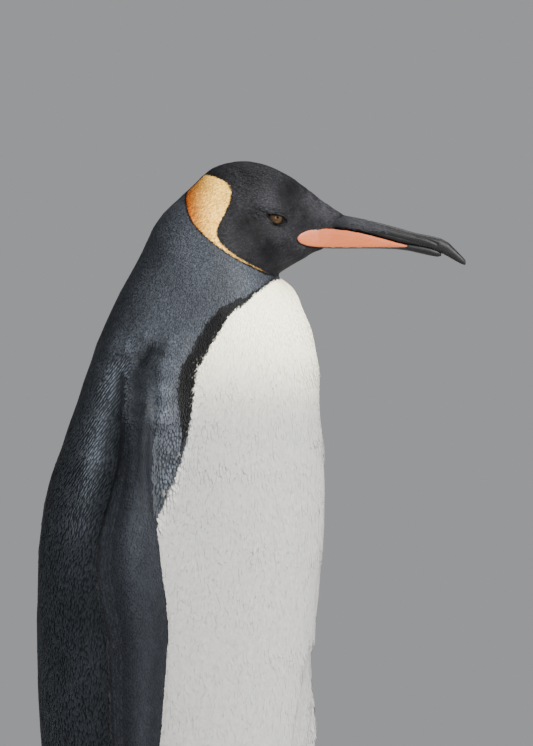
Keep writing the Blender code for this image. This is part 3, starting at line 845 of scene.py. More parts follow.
def shapedLids(points):
    opening = openingDistance(points)
    side = np.sign(points[:, 1])
    outward = np.abs(points[:, 1])
    reach = np.hypot(points[:, 0] - eyeX, points[:, 2] - eyeZ)
    surface = np.abs(eyeMiddle[1]) / mm - eyeBall["inward"]
    surface = surface + np.sqrt(np.maximum(eyeBall["radius"]**2 - reach**2, 0))
    margin = surface + lids["margin"]
    blend = smoothStep(-lids["fade"], -0.4, opening)
    lidded = np.maximum(outward, outward * (1 - blend) + np.maximum(margin, outward - 0.6) * blend)
    # the upper lid hangs a little over the ball, with a fold above it
    across = lidPlaces(points)[:, 1]
    upper = smoothStep(-1, 2, across)
    away, width, height = lids["overhang"]
    lidded += height * upper * bell(opening + away, width)
    away, width, height = lids["crease"]
    lidded -= height * (0.4 + 0.6 * upper) * bell(opening + away, width)
    away, along = lineDistance(lidPlaces(points), rounded(lids["lineBack"]))
    lidded -= lids["lineDepth"] * bell(away, lids["lineWidth"]) * (1 - along * 0.8)
    for height, halfWidth, line in lids["wrinkles"]:
        toLine, along = lineDistance(points[:, [0, 2]], eyeLine(line))
        taper = np.clip(np.minimum(along, 1 - along) * 4, 0, 1)
        lidded += height * taper * bell(toLine, halfWidth)
    inside = smoothStep(0.0, 0.9, opening)
    lidded = lidded * (1 - inside) + (surface - lids["sinkBy"]) * inside
    changed = (opening > -19) | ((reach < 40) & (away < 4) & (outward > 15))
    points = points.copy()
    points[changed, 1] = (side * lidded)[changed]
    return points


skinPoints = shapedLids(skinPoints)
setPoints(skinMesh, skinPoints * mm)


# Colours of the skin.

def partOf(shares):
    # The part each place belongs to, by the largest share, the trunk where none is large.
    stack = np.stack([shares[name] for name in shareNames])
    best = stack.argmax(axis=0)
    return np.where(stack.max(axis=0) > 0.5, best, len(shareNames))


fringePart = len(shareNames) + 1
partIndex = {name: i for i, name in enumerate(shareNames)}


def coatTone(points, normals, part):
    colour, tips = plumage(points)
    side = np.sign(points[:, 1])
    flipper, flipperTips = flipperColour(points, normals, side)
    onArm = (part == partIndex["flipper"]) * smoothStep(eyeZ - 172, eyeZ - 226, points[:, 2])
    colour = mix(colour, flipper, onArm)
    tips = tips * (1 - onArm) + flipperTips * onArm
    for name in ("leg", "tail", "foot"):
        chosen = part == partIndex[name]
        colour = np.where(chosen[:, None], tones[name], colour)
        tips = np.where(chosen, 0.3, tips)
    return colour, tips


skinPart = partOf(share)
skinMesh.update()
normals = normalsOf(skinMesh)
colour, tips = coatTone(skinPoints, normals, skinPart)
bare = smoothStep(-lids["bare"] - 0.5, -lids["bare"] + 0.3, openingDistance(skinPoints))
# the skin under the coat is darker, painted shade from the feathers over it, less under the white front
shade = 0.8 + 0.18 * smoothStep(-1, 1, signedDistance(skinPoints[:, [0, 2]], whiteArea))
colour = mix(colour * shade[:, None], tones["band"] * 0.6, bare)
setColours(skinMesh, "tone", colour)
skinMaterial = plumageMaterial("skinPlumage", 0.6, 0.1, 900.0, 0.0002)
skinMesh.shade_smooth()
skinPiece = newPiece("skin", skinMesh, skinMaterial)
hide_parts(*skin["flesh"])
print("skin: done with", len(skinMesh.polygons), "faces", flush=True)

# The coat.

coat = {
    "seed": 5, "crowding": 5.0, "turnJitter": 0.10, "turnWander": 0.14, "lengthJitter": 0.14,
    "toneJitter": {"Back": 0.09, "Neck": 0.13, "Front": 0.02, "Hood": 0.28, "Flipper": 0.05,
                   "Rump": 0.08},
    # roughness, gloss and depth of the barbs
    "finish": {"Back": (0.52, 0.09, 0.00002), "Front": (0.62, 0.1, 0.00001),
               "Hood": (0.6, 0.07, 0.00002), "Flipper": (0.62, 0.035, 0.00001)},
    "barbScale": 2600.0, "fringeFinish": (0.6, 0.07, 0.00002),
    "bakePatch": 0.003, "overFloor": 0.5, "leastLength": 0.15, "lift": 0.97,
    # Each kind of feather: length, width, gap along, gap across, depth, shaft height, how far
    # the root sinks, and how much paler the middle is than the edge, partly the feather's own tone and
    # partly a painted highlight on the shaft and painted shade at its edges.
    "back": (7.6, 2.3, 3.0, 1.6, 0.95, 0.32, -0.1, 0.3),
    "front": (11.0, 2.7, 3.9, 1.4, 0.1, 0.012, -0.17, 0),
    "streak": (10.0, 1.8, 4.8, 1.7, 0.75, 0.5, -0.1, 1.15),
    "speckle": (5.4, 2.6, 3.2, 2.2, 0.9, 0.45, -0.1, 0.8),
    "neck": (3.3, 1.7, 1.5, 1.25, 0.36, 0.13, -0.1, 0.4),
    "head": (3.3, 1.35, 1.4, 0.95, 0.32, 0.08, -0.12, 0.4),
    "face": (2.3, 1.0, 1.05, 0.74, 0.26, 0.07, -0.1, 0.4),
    "patch": (2.5, 0.95, 1.1, 0.68, 0.17, 0.03, -0.12, 0.08),
    "flipper": (3.8, 2.2, 1.9, 1.45, 0.2, 0.05, -0.14, 0.15),
    "leg": (4.4, 1.9, 2.0, 1.3, 0.9, 0.22, -0.1, 0.2),
    "tail": (12.0, 3.4, 5.0, 2.0, 1.2, 0.4, -0.1, 0.3),
    "fringe": (3.2, 1.0, 1.2, 0.6, 0.35, 0.08, -0.05, 0.3),
    "foldEdge": (4.2, 1.6, 1.7, 1.1, 0.1, 0.012, -0.12, 0),
    "rowPitch": 2.4, "rowTurn": 53, "rowPull": 0.85,
    # where the back is streaked and where it is speckled: x, z, radius
    "streaked": [(-149, -141, 12), (-156, -168, 17), (-168, -205, 19), (-178, -245, 19), (-186, -282, 14)],
    "speckled": [(-98, -205, 8), (-101, -228, 11), (-103, -252, 12)],
    # which way the feathers lie in the side view: 0 is backwards, 90 is down
    "flow": [
        (70, -2, -30), (62, 14, -30), (30, 12, -18), (4, 12, -6), (-26, 22, 4), (-22, 46, -4),
        (-55, 46, 22), (-72, 22, 52), (-48, 2, 38), (-26, -18, 24), (6, -18, 10), (34, -26, 12),
        (18, -40, 34), (-6, -48, 44), (-60, -28, 58), (-92, 0, 60), (-112, -60, 66),
        (-150, -110, 56), (-160, -165, 53), (-172, -205, 54), (-184, -245, 61), (-195, -300, 76),
        (-60, -80, 76), (0, -72, 84), (22, -92, 97), (-80, -140, 86),
        (35, -140, 92), (-105, -190, 86), (-100, -250, 88), (40, -260, 89), (-230, -400, 89),
        (-100, -450, 90), (40, -400, 91), (-210, -560, 91), (-190, -680, 96), (-60, -700, 90),
        (30, -640, 88),
    ],
}


def flowAt(points, normals):
    keys = np.array(coat["flow"], float)
    places = fromEye(keys[:, :2])
    turn = np.radians(keys[:, 2])
    weight = 1 / (((points[:, None, [0, 2]] - places[None]) ** 2).sum(axis=2) + 15.0**2) ** 2
    weight /= weight.sum(axis=1, keepdims=True)
    flow = np.stack([-(weight @ np.cos(turn)), np.zeros(len(points)), -(weight @ np.sin(turn))], axis=1)
    return unit(flow - normals * (flow * normals).sum(axis=1, keepdims=True))


def zoneShare(side, zone):
    # 1 inside any circle of the zone, 0 well outside them all.
    places = fromEye([row[:2] for row in coat[zone]])
    radii = np.array([row[2] for row in coat[zone]])
    away = np.hypot(*(side[:, None] - places[None]).transpose(2, 0, 1)) / radii
    return smoothStep(1.25, 0.75, away.min(axis=1))


def drawnIntoRows(roots, normals):
    # The long feathers of the back stand in slanting rows.
    turn = math.radians(coat["rowTurn"])
    across = np.array([math.sin(turn), -math.cos(turn)])
    place = roots[:, [0, 2]] @ across
    pull = (np.round(place / coat["rowPitch"]) * coat["rowPitch"] - place) * coat["rowPull"]
    pull *= zoneShare(roots[:, [0, 2]], "streaked") * (np.abs(normals[:, 1]) > 0.25)
    moved = roots.copy()
    moved[:, 0] += pull * across[0]
    moved[:, 2] += pull * across[1]
    slope = (normals[:, 0] * across[0] + normals[:, 2] * across[1]) / np.where(pull == 0, 1, normals[:, 1])
    moved[:, 1] -= pull * slope
    return moved


def featherSizes(points, part):
    # The eight sizes of the feather at each place.
    def blend(first, second, amount):
        return mix(np.asarray(first, float), np.asarray(second, float), amount)

    side = points[:, [0, 2]]
    height = points[:, 2] - eyeZ
    size = blend(coat["back"], coat["neck"], smoothStep(-330, -150, height + (points[:, 0] - eyeX) * 0.35))
    size = blend(size, coat["streak"], zoneShare(side, "streaked"))
    size = blend(size, coat["speckle"], zoneShare(side, "speckled"))
    white = smoothStep(0, 7, signedDistance(side, whiteArea))
    front = blend(coat["front"], coat["neck"], smoothStep(-170, -60, height))
    front = blend(front, coat["foldEdge"], smoothStep(0.2, 0.7, nearFold(points, 9.0)))
    size = blend(size, front, white)
    hood = smoothStep(-3, 0, signedDistance(side, hoodArea))
    fromFace = np.hypot(points[:, 0] - eyeX - 30, (height + 4) * 1.2)
    head = blend(coat["face"], coat["head"], smoothStep(24, 62, fromFace))
    head = blend(head, coat["patch"], smoothStep(-5, -2, signedDistance(side, patchArea)))
    size = blend(size, head, hood)
    size = blend(size, coat["fringe"], (part == fringePart).astype(float))
    for name in ("flipper", "leg", "tail"):
        chosen = (part == partIndex[name])
        if name == "flipper":
            size = blend(size, coat["flipper"], chosen * smoothStep(-120, -165, height))
        else:
            size = blend(size, coat[name], chosen.astype(float))
    return size


def spread(points, normals, triangles, part, covered, rng):
    # Places spread evenly over a surface. Each is as far from the next, along its own lie and
    # across it, as its feather asks.
    corners = points[triangles]
    area = np.linalg.norm(np.cross(corners[:, 1] - corners[:, 0], corners[:, 2] - corners[:, 0]), axis=1) / 2
    middle = corners.mean(axis=1)
    facePart = part[triangles[:, 0]]
    size = featherSizes(middle, facePart)
    wanted = np.where(covered(middle, facePart), area * coat["crowding"] / size[:, 2] / size[:, 3], 0)
    face = np.repeat(np.arange(len(triangles)), rng.poisson(wanted))
    face = face[rng.permutation(len(face))]
    a, b = rng.random((2, len(face)))
    flip = a + b > 1
    a, b = np.where(flip, 1 - a, a), np.where(flip, 1 - b, b)
    weights = np.stack([1 - a - b, a, b], axis=1)
    places = (corners[face] * weights[:, :, None]).sum(axis=1)
    turned = unit((normals[triangles[face]] * weights[:, :, None]).sum(axis=1))
    flows = flowAt(middle, unit(normals[triangles].mean(axis=1)))[face]
    tree = KDTree(len(places))
    rows = places.tolist()
    for i, place in enumerate(rows):
        tree.insert(place, i)
    tree.balance()
    free = bytearray(b"\x01") * len(rows)
    kept = []
    gaps = size[face][:, 2:4].tolist()
    ways = flows.tolist()
    for i, ((x, y, z), (gapAlong, gapAcross), (fx, fy, fz)) in enumerate(zip(rows, gaps, ways)):
        if not free[i]:
            continue
        kept.append(i)
        stretch = 1 / gapAlong**2 - 1 / gapAcross**2
        for spot, j, away in tree.find_range((x, y, z), gapAlong):
            if free[j]:
                along = (spot[0] - x) * fx + (spot[1] - y) * fy + (spot[2] - z) * fz
                if away * away / gapAcross**2 + along * along * stretch < 1:
                    free[j] = 0
    kept = np.array(kept)
    return places[kept], turned[kept], facePart[face[kept]]


def makeVane():
    # One feather: a thin closed blade with a low shaft, rounded at the tip.
    outline = [(0, 0, 0), (0.4, -0.46, 0.1), (0.8, -0.46, 0.0), (1, -0.16, -0.2), (1, 0.16, -0.2),
               (0.8, 0.46, 0.0), (0.4, 0.46, 0.1)]
    bm = bmesh.new()
    ring = [bm.verts.new(place) for place in outline]
    above = bm.faces.new(ring)
    poked = bmesh.ops.poke(bm, faces=[above])
    poked["verts"][0].co = (0.66, 0, 1)
    below = bm.faces.new(ring[::-1])
    bmesh.ops.triangulate(bm, faces=[below])
    mesh = bpy.data.meshes.new("vane")
    bm.to_mesh(mesh)
    bm.free()
    points = pointsOf(mesh)
    faces = np.array([face.vertices[:] for face in mesh.polygons])
    bpy.data.meshes.remove(mesh)
    return points, faces


def joinedFeathers(name, roots, flows, normals, size, colours, tips, unwrap, template):
    points, faces = template
    count = len(roots)
    along, across, up = points.T
    acrossWay = np.cross(normals, flows)
    lift = np.arcsin(np.clip(size[:, 4] / size[:, 0], 0, 0.9))[:, None]
    lengthWay = flows * np.cos(lift) + normals * np.sin(lift)
    upWay = normals * np.cos(lift) - flows * np.sin(lift)
    # a feather that would reach the floor is shorter, and what still would is lifted
    falls = np.maximum(-lengthWay[:, 2] * size[:, 0], 0.01)
    length = size[:, 0] * np.clip((roots[:, 2] - coat["overFloor"]) / falls, coat["leastLength"], 1)
    made = (roots[:, None] + lengthWay[:, None] * (along[None, :, None] * length[:, None, None])
            + acrossWay[:, None] * (across[None, :, None] * size[:, 1, None, None])
            + upWay[:, None] * (up[None, :, None] * size[:, 5, None, None]))
    under = np.minimum(made[..., 2] - coat["overFloor"], 0)
    made[..., 2] -= under * coat["lift"]
    allFaces = (faces[None] + np.arange(count)[:, None, None] * len(points)).reshape(-1, 3)
    mesh = bpy.data.meshes.new(name)
    mesh.vertices.add(count * len(points))
    mesh.vertices.foreach_set("co", (made * mm).astype(np.float32).ravel())
    mesh.loops.add(allFaces.size)
    mesh.loops.foreach_set("vertex_index", allFaces.astype(np.int32).ravel())
    mesh.polygons.add(len(allFaces))
    mesh.polygons.foreach_set("loop_start", np.arange(0, allFaces.size, 3, dtype=np.int32))
    mesh.polygons.foreach_set("use_smooth", np.zeros(len(allFaces), bool))
    mesh.update(calc_edges=True)
    # the root is darker than the tip
    shade = 1 + tips[:, None] * (np.clip(along, 0, 1)[None] - 0.55) * 1.5
    # a paler middle and darker edges: partly the feather's own tone, partly a painted highlight along the
    # shaft and painted shade at the edges
    shade *= 1 + size[:, 7:] * np.where(up > 0.5, 0.9, -0.3)[None]
    tone = colours[:, None, :] * np.clip(shade, 0.2, 2)[..., None]
    setColours(mesh, "tone", tone.reshape(-1, 3))
    corner = faces.ravel()
    vaneMap = mesh.uv_layers.new(name="vane")
    vaneMap.data.foreach_set("uv", np.tile(
        np.stack([across[corner] + 0.5, along[corner]], axis=1), (count, 1)).astype(np.float32).ravel())
    bakeMap = mesh.uv_layers.new(name="OFBake")
    patch = np.stack([across[corner], 0.5 - along[corner]], axis=1) * coat["bakePatch"]
    bakeMap.data.foreach_set("uv", (unwrap[:, None] + patch[None]).astype(np.float32).ravel())
    return mesh


spine = rounded(fromEye([
    (70, 0), (30, 6), (-10, 8), (-42, -8), (-56, -30), (-70, -60), (-90, -110), (-92, -400), (-92, -770),
]), 2)


def unwrapped(points, piece):
    # Each place on an unrolled skin: round the body's middle line, and down along it.
    side = points[:, [0, 2]]
    if piece == "Flipper":
        low, high = np.array(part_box("flipper_left")) / mm
        middle = (low + high) / 2
        around = np.arctan2(points[:, 0] - middle[0], np.abs(points[:, 1]) - middle[1])
        down = points[:, 2]
    else:
        away, down = lineDistance(side, spine)
        ahead = np.interp(points[:, 2], spine[::-1, 1], spine[::-1, 0])
        behind = points[:, 0] < ahead
        around = np.arctan2(np.abs(points[:, 1]), np.where(behind, -away, away))
    flat = np.stack([around, down], axis=1)
    low, high = flat.min(axis=0), flat.max(axis=0)
    return 0.01 + 0.98 * (flat - low) / np.maximum(high - low, 1e-9)


# Outline of the plate at the side of the bill, counted from the eye.
plateArea = fromEye([
    (19.6, -17.1), (22.6, -13.1), (29.6, -9.9), (39.6, -8.4), (52.6, -8.7), (67.6, -10.5), (82.6, -13.4),
    (82.6, -27), (67.6, -27.1), (52.6, -27.1), (39.6, -26.7), (29.6, -25.7), (22.6, -23.3), (19.6, -19.9),
])


def makeCoat():
    rng = np.random.default_rng(coat["seed"])

    def covered(places, part):
        onPlate = signedDistance(places[:, [0, 2]], plateArea) > 0.2
        onPlate &= np.abs(places[:, 1]) > 3
        return (part != partIndex["foot"]) & (openingDistance(places) < -lids["bare"]) & ~onPlate

    roots, normals, part = spread(
        skinPoints, normalsOf(skinMesh), trianglesOf(skinMesh), skinPart, covered, rng)
    print("coat:", len(roots), "feathers", flush=True)
    roots = drawnIntoRows(roots, normals)
    flows = flowAt(roots, normals)
    turn = rng.normal(0, coat["turnJitter"], len(roots)) + coat["turnWander"] * softNoise(roots, 26)
    turn = (turn * (1 - 0.75 * zoneShare(roots[:, [0, 2]], "streaked")))[:, None]
    flows = unit(flows * np.cos(turn) + np.cross(normals, flows) * np.sin(turn))
    size = featherSizes(roots, part)
    size[:, :2] *= (1 + rng.normal(0, coat["lengthJitter"], len(roots)))[:, None].clip(0.7, 1.4)
    seen = roots + flows * size[:, :1] * 0.75
    colours, tips = coatTone(seen, normals, part)
    roots = roots - normals * size[:, 6:7]

    hood = signedDistance(roots[:, [0, 2]], hoodArea) > -1
    white = signedDistance(roots[:, [0, 2]], whiteArea) > 0
    height = roots[:, 2] - eyeZ
    region = np.full(len(roots), "Back", dtype="U8")
    region[(height > -150)] = "Neck"
    region[white] = "Front"
    region[hood] = "Hood"
    region[(part == partIndex["flipper"]) & (height < -190)] = "Flipper"
    region[(part == partIndex["leg"]) | (part == partIndex["tail"])] = "Rump"
    jitter = np.array([coat["toneJitter"][name] for name in region])
    colours = colours * (1 + rng.normal(0, 1, len(roots)) * jitter)[:, None].clip(0.5, 1.6)
    slots = {"Back": "plumage_grey", "Neck": "plumage_grey", "Front": "plumage_white",
             "Hood": "plumage_dark", "Flipper": "plumage_grey", "Rump": "plumage_grey"}
    materials = {name: plumageMaterial(name.lower() + "Plumage", roughness, gloss, coat["barbScale"], depth)
                 for name, (roughness, gloss, depth) in coat["finish"].items()}
    materials["Neck"] = materials["Rump"] = materials["Back"]
    template = makeVane()
    for name, slot in slots.items():
        for sideName, side in sides.items():
            chosen = np.flatnonzero((region == name) & (np.where(roots[:, 1] < 0, -1, 1) == side))
            if not len(chosen):
                continue
            mesh = joinedFeathers(
                "coat" + name, roots[chosen], flows[chosen], normals[chosen], size[chosen],
                colours[chosen], tips[chosen], unwrapped(roots[chosen], name), template)
            newPiece("coat" + name + sideName.capitalize(), mesh, materials[name])
            print("coat:", name, sideName, len(chosen), flush=True)


makeCoat()

# The fine pale lines along the edges of the flipper, made of long narrow feathers; the pale line along the
# front edge is a painted highlight.
edgeLines = {
    "front": [(-115.4, -216), (-116.2, -240), (-117.2, -262), (-117.4, -282)],
    "rear": [(-173.4, -322), (-173.6, -340), (-171, -360), (-167.5, -385), (-164, -410),
             (-161.5, -440), (-160.2, -480), (-158.8, -530)],
    "step": 2.6, "size": (9.0, 0.8, 0.2, 0.08), "tones": {"front": (72, 73, 74), "rear": (45, 46, 47)},
}


def addEdgeLines():
    bm = bmesh.new()
    bm.from_mesh(skinMesh)
    tree = BVHTree.FromBMesh(bm)
    bm.free()
    for sideName, side in sides.items():
        roots, flows, normals, colours = [], [], [], []
        for name, tone in edgeLines["tones"].items():
            line = eyeLine(edgeLines[name])
            gone = np.concatenate([[0], np.cumsum(np.hypot(*np.diff(line, axis=0).T))])
            for at in np.arange(0, gone[-1] - 1, edgeLines["step"]):
                x, x2 = np.interp([at, at + 1], gone, line[:, 0])
                z, z2 = np.interp([at, at + 1], gone, line[:, 1])
                start = Vector((x, side * 400, z)) * mm
                spot, normal, face, away = tree.ray_cast(start, Vector((0, -side, 0)))
                if spot is None:
                    continue
                normal = np.array(normal)
                flow = np.array([x2 - x, 0, z2 - z])
                roots.append(np.array(spot) / mm + normal * 0.55)
                flows.append(unit(flow - normal * (flow @ normal)))
                normals.append(normal)
                colours.append(linear(tone))
        count = len(roots)
        length, width, depth, shaft = edgeLines["size"]
        size = np.tile([length, width, 0, 0, depth, shaft, 0, 0], (count, 1))
        roots, flows, normals = (np.array(rows) for rows in (roots, flows, normals))
        mesh = joinedFeathers(
            "coatEdge", roots, flows, normals, size, np.array(colours),
            np.zeros(count), unwrapped(roots, "Flipper"), makeVane())
        newPiece("coatEdge" + sideName.capitalize(), mesh, bpy.data.materials["flipperPlumage"])


addEdgeLines()

# Bill, plates, eyes and claws.

bill = {
    "voxel": 0.55 * mm, "relax": 3, "overlap": 1.5,
    # grooves in the side view counted from the eye: depth, half width, line
    "grooves": [(0.6, 0.9, [(62, 4), (90, -3.5), (112, -9.5), (140, -17), (162, -27)]),
                (0.35, 0.6, [(84, -10), (104, -14), (130, -20.5), (152, -26)])],
}


def fineCopy(node, voxel, relax, grow=0.3 * mm):
    bm = bmesh.new()
    addGrown(bm, node, grow)
    mesh = bpy.data.meshes.new("fine")
    bm.to_mesh(mesh)
    bm.free()
    made = modified(mesh, ("REMESH", {"mode": "VOXEL", "voxel_size": voxel}))
    points = relaxed(pointsOf(made), edgePairs(made), np.ones(len(made.vertices)), relax)
    setPoints(made, points)
    made.shade_smooth()
    return made


horn = {"stretch": (40, 900, 700), "turn": -14, "depth": 0.00012}


def makeHornStreaks():
    # Fine streaks that run along the bill, in tone, roughness and height.
    tree, taken, given = newGroup(
        "hornStreaks", {"Base": "Color", "Streak": "Color", "Roughness": "Float"},
        {"Color": "Color", "Roughness": "Float", "Normal": "Vector"})
    coords = addNode(tree, "ShaderNodeTexCoord").outputs["Object"]
    lengthways = addNode(tree, "ShaderNodeMapping", Vector=coords)
    lengthways.inputs["Scale"].default_value = horn["stretch"]
    lengthways.inputs["Rotation"].default_value = (0, math.radians(horn["turn"]), 0)
    streaks = addNode(tree, "ShaderNodeTexNoise", Vector=lengthways.outputs["Vector"], Scale=1.0, Detail=4.0)
    share = streaks.outputs["Fac"]
    blend = addNode(tree, "ShaderNodeMix", {"data_type": "RGBA"}, i0=share,
                    i6=taken["Base"], i7=taken["Streak"])
    tree.links.new(blend.outputs[2], given["Color"])
    tree.links.new(roughened(tree, share, taken["Roughness"], 0.08), given["Roughness"])
    bump = addNode(tree, "ShaderNodeBump", Height=share, Distance=horn["depth"])
    tree.links.new(bump.outputs["Normal"], given["Normal"])
    return tree


hornStreaks = makeHornStreaks()


def hornMaterial(name, base, streak, roughness, coatWeight):
    material, tree, shader = newMaterial(name, **{"Specular IOR Level": 0.2, "Coat Weight": coatWeight})
    fed(tree, shader, addNode(tree, "ShaderNodeGroup", {"node_tree": hornStreaks}, Base=(*linear(base), 1),
                              Streak=(*linear(streak), 1), Roughness=roughness))
    return material


# The short feathers that run out along the side of the bill, counted from the eye.
fringe = {
    "area": [(44, 20), (58, 12.5), (68, 5.4), (78, 2.0), (90, -2.2), (104, -8), (109, -11),
             (104, -12.4), (90, -11), (76, -8.8), (62, -7.6), (44, -7)],
    "seed": 21, "paler": 2.6,
}


def addFringe(mesh):
    rng = np.random.default_rng(fringe["seed"])
    points = pointsOf(mesh) / mm
    area = fromEye(fringe["area"])

    def covered(places, part):
        away = signedDistance(places[:, [0, 2]], area)
        return (away > -1.5) & (away + softNoise(places, 5) * 1.2 > 0)

    part = np.full(len(points), fringePart)
    roots, normals, part = spread(points, normalsOf(mesh), trianglesOf(mesh), part, covered, rng)
    flows = np.tile(unit(np.array([[-1.0, 0, 0.24]])), (len(roots), 1))
    turn = rng.normal(0, 0.16, len(roots))[:, None]
    flows = unit(flows - normals * (flows * normals).sum(axis=1, keepdims=True))
    flows = unit(flows * np.cos(turn) + np.cross(normals, flows) * np.sin(turn))
    size = np.tile(np.array(coat["fringe"]), (len(roots), 1))
    size[:, 0] *= 1 + rng.normal(0, 0.18, len(roots)).clip(-0.4, 0.4)
    paler = 1 + (fringe["paler"] - 1) * smoothStep(50, 80, roots[:, 0] - eyeX)
    colours = tones["hood"] * (paler * (1 + rng.normal(0, 0.12, len(roots))))[:, None]
    mesh = joinedFeathers(
        "coatFringe", roots - normals * size[:, 6:7], flows, normals, size, colours,
        np.full(len(roots), 0.1), unwrapped(roots, "Fringe"), makeVane())
    roughness, gloss, depth = coat["fringeFinish"]
    finish = plumageMaterial("fringePlumage", roughness, gloss, coat["barbScale"], depth)
    newPiece("coatFringe", mesh, finish)
    print("coat: fringe", len(roots), flush=True)


billMaterial = hornMaterial("billHorn", (7, 7, 8), (19, 18, 20), 0.5, 0.0)
plateMaterial = hornMaterial("billPlate", (160, 77, 42), (173, 96, 57), 0.46, 0.02)
clawMaterial = hornMaterial("clawHorn", (22, 21, 21), (44, 41, 40), 0.4, 0.05)
for node, name in (("bill_upper", "billUpper"), ("bill_lower", "billLower")):
    mesh = fineCopy(node, bill["voxel"], bill["relax"])
    points = pointsOf(mesh) / mm
    if node == "bill_upper":
        for depth, halfWidth, line in bill["grooves"]:
            away = lineDistance(points[:, [0, 2]], eyeLine(line))[0]
            cut = depth * bell(away, halfWidth) * smoothStep(0.6, 2.5, np.abs(points[:, 1]))
            points[:, 1] -= np.sign(points[:, 1]) * cut
        # the edge of the upper half hangs over the lower one
        slot = np.round((points[:, 0] - points[:, 0].min()) / 2).astype(int)
        lowest = np.full(slot.max() + 1, 1e9)
        np.minimum.at(lowest, slot, points[:, 2])
        near = np.exp(-(points[:, 2] - lowest[slot]) / 2.4)
        points[:, 2] -= bill["overlap"] * near
        points[:, 1] *= 1 + 0.02 * near
    setPoints(mesh, points * mm)
    if node == "bill_upper":
        addFringe(mesh)
    piece = newPiece(name, mesh, billMaterial)
    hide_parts(node)
for sideName in sides:
    mesh = fineCopy("plate_" + sideName, 0.7 * mm, 4)
    piece = newPiece("plate" + sideName.capitalize(), mesh, plateMaterial)
    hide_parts("plate_" + sideName)
    for toe in ("inner", "middle", "outer"):
        node = "claw_" + sideName + "_" + toe
        mesh = fineCopy(node, 0.7 * mm, 3, 0)
        piece = newPiece("claw" + toe.capitalize() + sideName.capitalize(), mesh, clawMaterial)
        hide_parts(node)


# The iris and the pupil in the side view, counted from the eye.
iris = {
    "pupil": (0.7, 1.5), "pupilRadius": 1.15, "middle": (-2.4, 0.8), "radius": 7.7,
    # the wet front of the ball, and its roughness and coat inside and outside that ring
    "wetMiddle": (-3.0, 0.8), "wetRadii": (4.5, 6.5), "roughness": (0.3, 0.8), "coat": (0.32, 0.0),
    "colour": (54, 40, 25), "rim": (12, 10, 9), "dark": (4, 4, 5),
}


def eyeMaterial():
    material, tree, shader = newMaterial("eyeBall", Roughness=0.3, **{"Specular IOR Level": 0.04})
    shader.inputs["Coat Weight"].default_value = 0.07
    shader.inputs["Coat Roughness"].default_value = 0.13
    coords = addNode(tree, "ShaderNodeTexCoord")

    def ringShare(middle, inner, outer):
        # 0 inside the inner radius, 1 outside the outer one.
        centred = addNode(tree, "ShaderNodeMapping", Vector=coords.outputs["Object"])
        centred.inputs["Location"].default_value = (-(eyeX + middle[0]), 0, -(eyeZ + middle[1]))
        centred.inputs["Scale"].default_value = (1 / mm, 0, 1 / mm)
        reach = addNode(tree, "ShaderNodeVectorMath", {"operation": "LENGTH"},
                        Vector=centred.outputs["Vector"])
        ring = addNode(tree, "ShaderNodeMapRange", {"interpolation_type": "SMOOTHSTEP"},
                       Value=reach.outputs["Value"])
        ring.inputs["From Min"].default_value = inner
        ring.inputs["From Max"].default_value = outer
        return ring.outputs["Result"]

    def blended(share, first, second):
        made = addNode(tree, "ShaderNodeMix", {"data_type": "RGBA"})
        tree.links.new(share, made.inputs[0])
        for index, value in ((6, first), (7, second)):
            if isinstance(value, bpy.types.NodeSocket):
                tree.links.new(value, made.inputs[index])
            else:
                made.inputs[index].default_value = (*linear(value), 1)
        return made.outputs[2]

    flecks = addNode(tree, "ShaderNodeTexNoise", Vector=coords.outputs["Object"], Scale=900.0)
    flecked = blended(flecks.outputs["Fac"], [c * 0.8 for c in iris["colour"]],
                      [c * 1.2 for c in iris["colour"]])
    ringed = blended(ringShare(iris["middle"], iris["radius"] - 1.6, iris["radius"]), flecked, iris["rim"])
    front = ringShare(iris["wetMiddle"], *iris["wetRadii"])
    for socket, name in (("Roughness", "roughness"), ("Coat Weight", "coat")):
        tree.links.new(ranged(tree, front, *iris[name]), shader.inputs[socket])
    radius = iris["pupilRadius"]
    tree.links.new(blended(ringShare(iris["pupil"], radius - 0.2, radius + 0.2), iris["dark"], ringed),
                   shader.inputs["Base Color"])
    return material


eyeFinish = eyeMaterial()
for sideName, side in sides.items():
    bm = bmesh.new()
    bmesh.ops.create_uvsphere(bm, u_segments=48, v_segments=32, radius=eyeBall["radius"] * mm)
    bmesh.ops.rotate(bm, verts=bm.verts, matrix=Matrix.Rotation(math.pi / 2, 3, "X"))
    inward = Vector((0, -side * eyeBall["inward"] * mm, 0))
    bmesh.ops.translate(bm, verts=bm.verts, vec=Vector(boxMiddle("eye_" + sideName)) + inward)
    mesh = bpy.data.meshes.new("eye")
    bm.to_mesh(mesh)
    bm.free()
    mesh.shade_smooth()
    piece = newPiece("eye" + sideName.capitalize(), mesh, eyeFinish)
    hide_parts("eye_" + sideName)

# Studio.

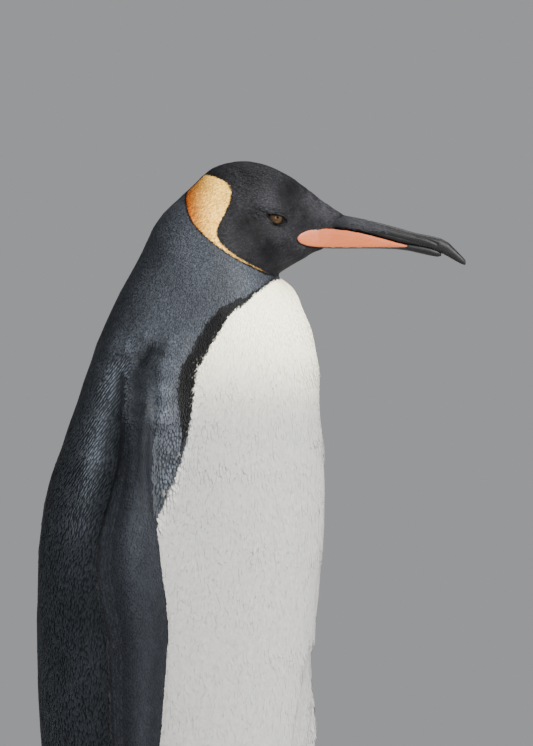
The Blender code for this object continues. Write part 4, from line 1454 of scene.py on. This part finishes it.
studio = {
    "yaw": 0.0, "distance": 8.0, "span": 0.7162, "frameX": 0.0154, "frameZ": 0.6465,
    "floorRadius": 3.0, "floorColour": (0.62, 0.62, 0.61, 1),
    "skyColour": (0.75, 0.76, 0.78, 1), "skyStrength": 0.45,
    # place, target, size and power of each lamp
    "lamps": {
        "keyLight": ((1.85, -1.95, 2.1), (0, 0, 0.6), 1.1, 305),
        "fillLight": ((-0.7, -3.2, 1.5), (0, 0, 0.5), 0.6, 30),
        "topLight": ((0.7, 1.0, 2.9), (0.1, 0, 0.7), 1.2, 38),
    },
}


def makeStudio():
    bm = bmesh.new()
    bmesh.ops.create_circle(bm, cap_ends=True, segments=96, radius=studio["floorRadius"])
    mesh = bpy.data.meshes.new("floor")
    bm.to_mesh(mesh)
    bm.free()
    floor = bpy.data.objects.new("floor", mesh)
    bpy.context.scene.collection.objects.link(floor)
    material, tree, shader = newMaterial("floorPaint", Roughness=0.8)
    shader.inputs["Base Color"].default_value = studio["floorColour"]
    mesh.materials.append(material)

    world = bpy.data.worlds.new("studio")
    bpy.context.scene.world = world
    world.use_nodes = True
    background = world.node_tree.nodes["Background"]
    background.inputs["Color"].default_value = studio["skyColour"]
    background.inputs["Strength"].default_value = studio["skyStrength"]

    def softLight(name, place, target, size, power):
        data = bpy.data.lights.new(name, "AREA")
        data.shape = "DISK"
        data.size = size
        data.energy = power
        lamp = bpy.data.objects.new(name, data)
        lamp.location = place
        lamp.rotation_mode = "QUATERNION"
        lamp.rotation_quaternion = (Vector(target) - Vector(place)).to_track_quat("-Z", "Y")
        bpy.context.scene.collection.objects.link(lamp)

    for name, lamp in studio["lamps"].items():
        softLight(name, *lamp)

    data = bpy.data.cameras.new("camera")
    camera = bpy.data.objects.new("camera", data)
    bpy.context.scene.collection.objects.link(camera)
    bpy.context.scene.camera = camera
    yaw = math.radians(studio["yaw"])
    back = Vector((math.sin(yaw), -math.cos(yaw), 0))
    across = Vector((math.cos(yaw), math.sin(yaw), 0))
    camera.location = (across * studio["frameX"] + Vector((0, 0, studio["frameZ"]))
                       + back * studio["distance"])
    camera.rotation_mode = "QUATERNION"
    camera.rotation_quaternion = (-back).to_track_quat("-Z", "Y")
    data.sensor_width = 36
    data.lens = data.sensor_width * studio["distance"] / studio["span"]
    data.clip_end = 60


makeStudio()
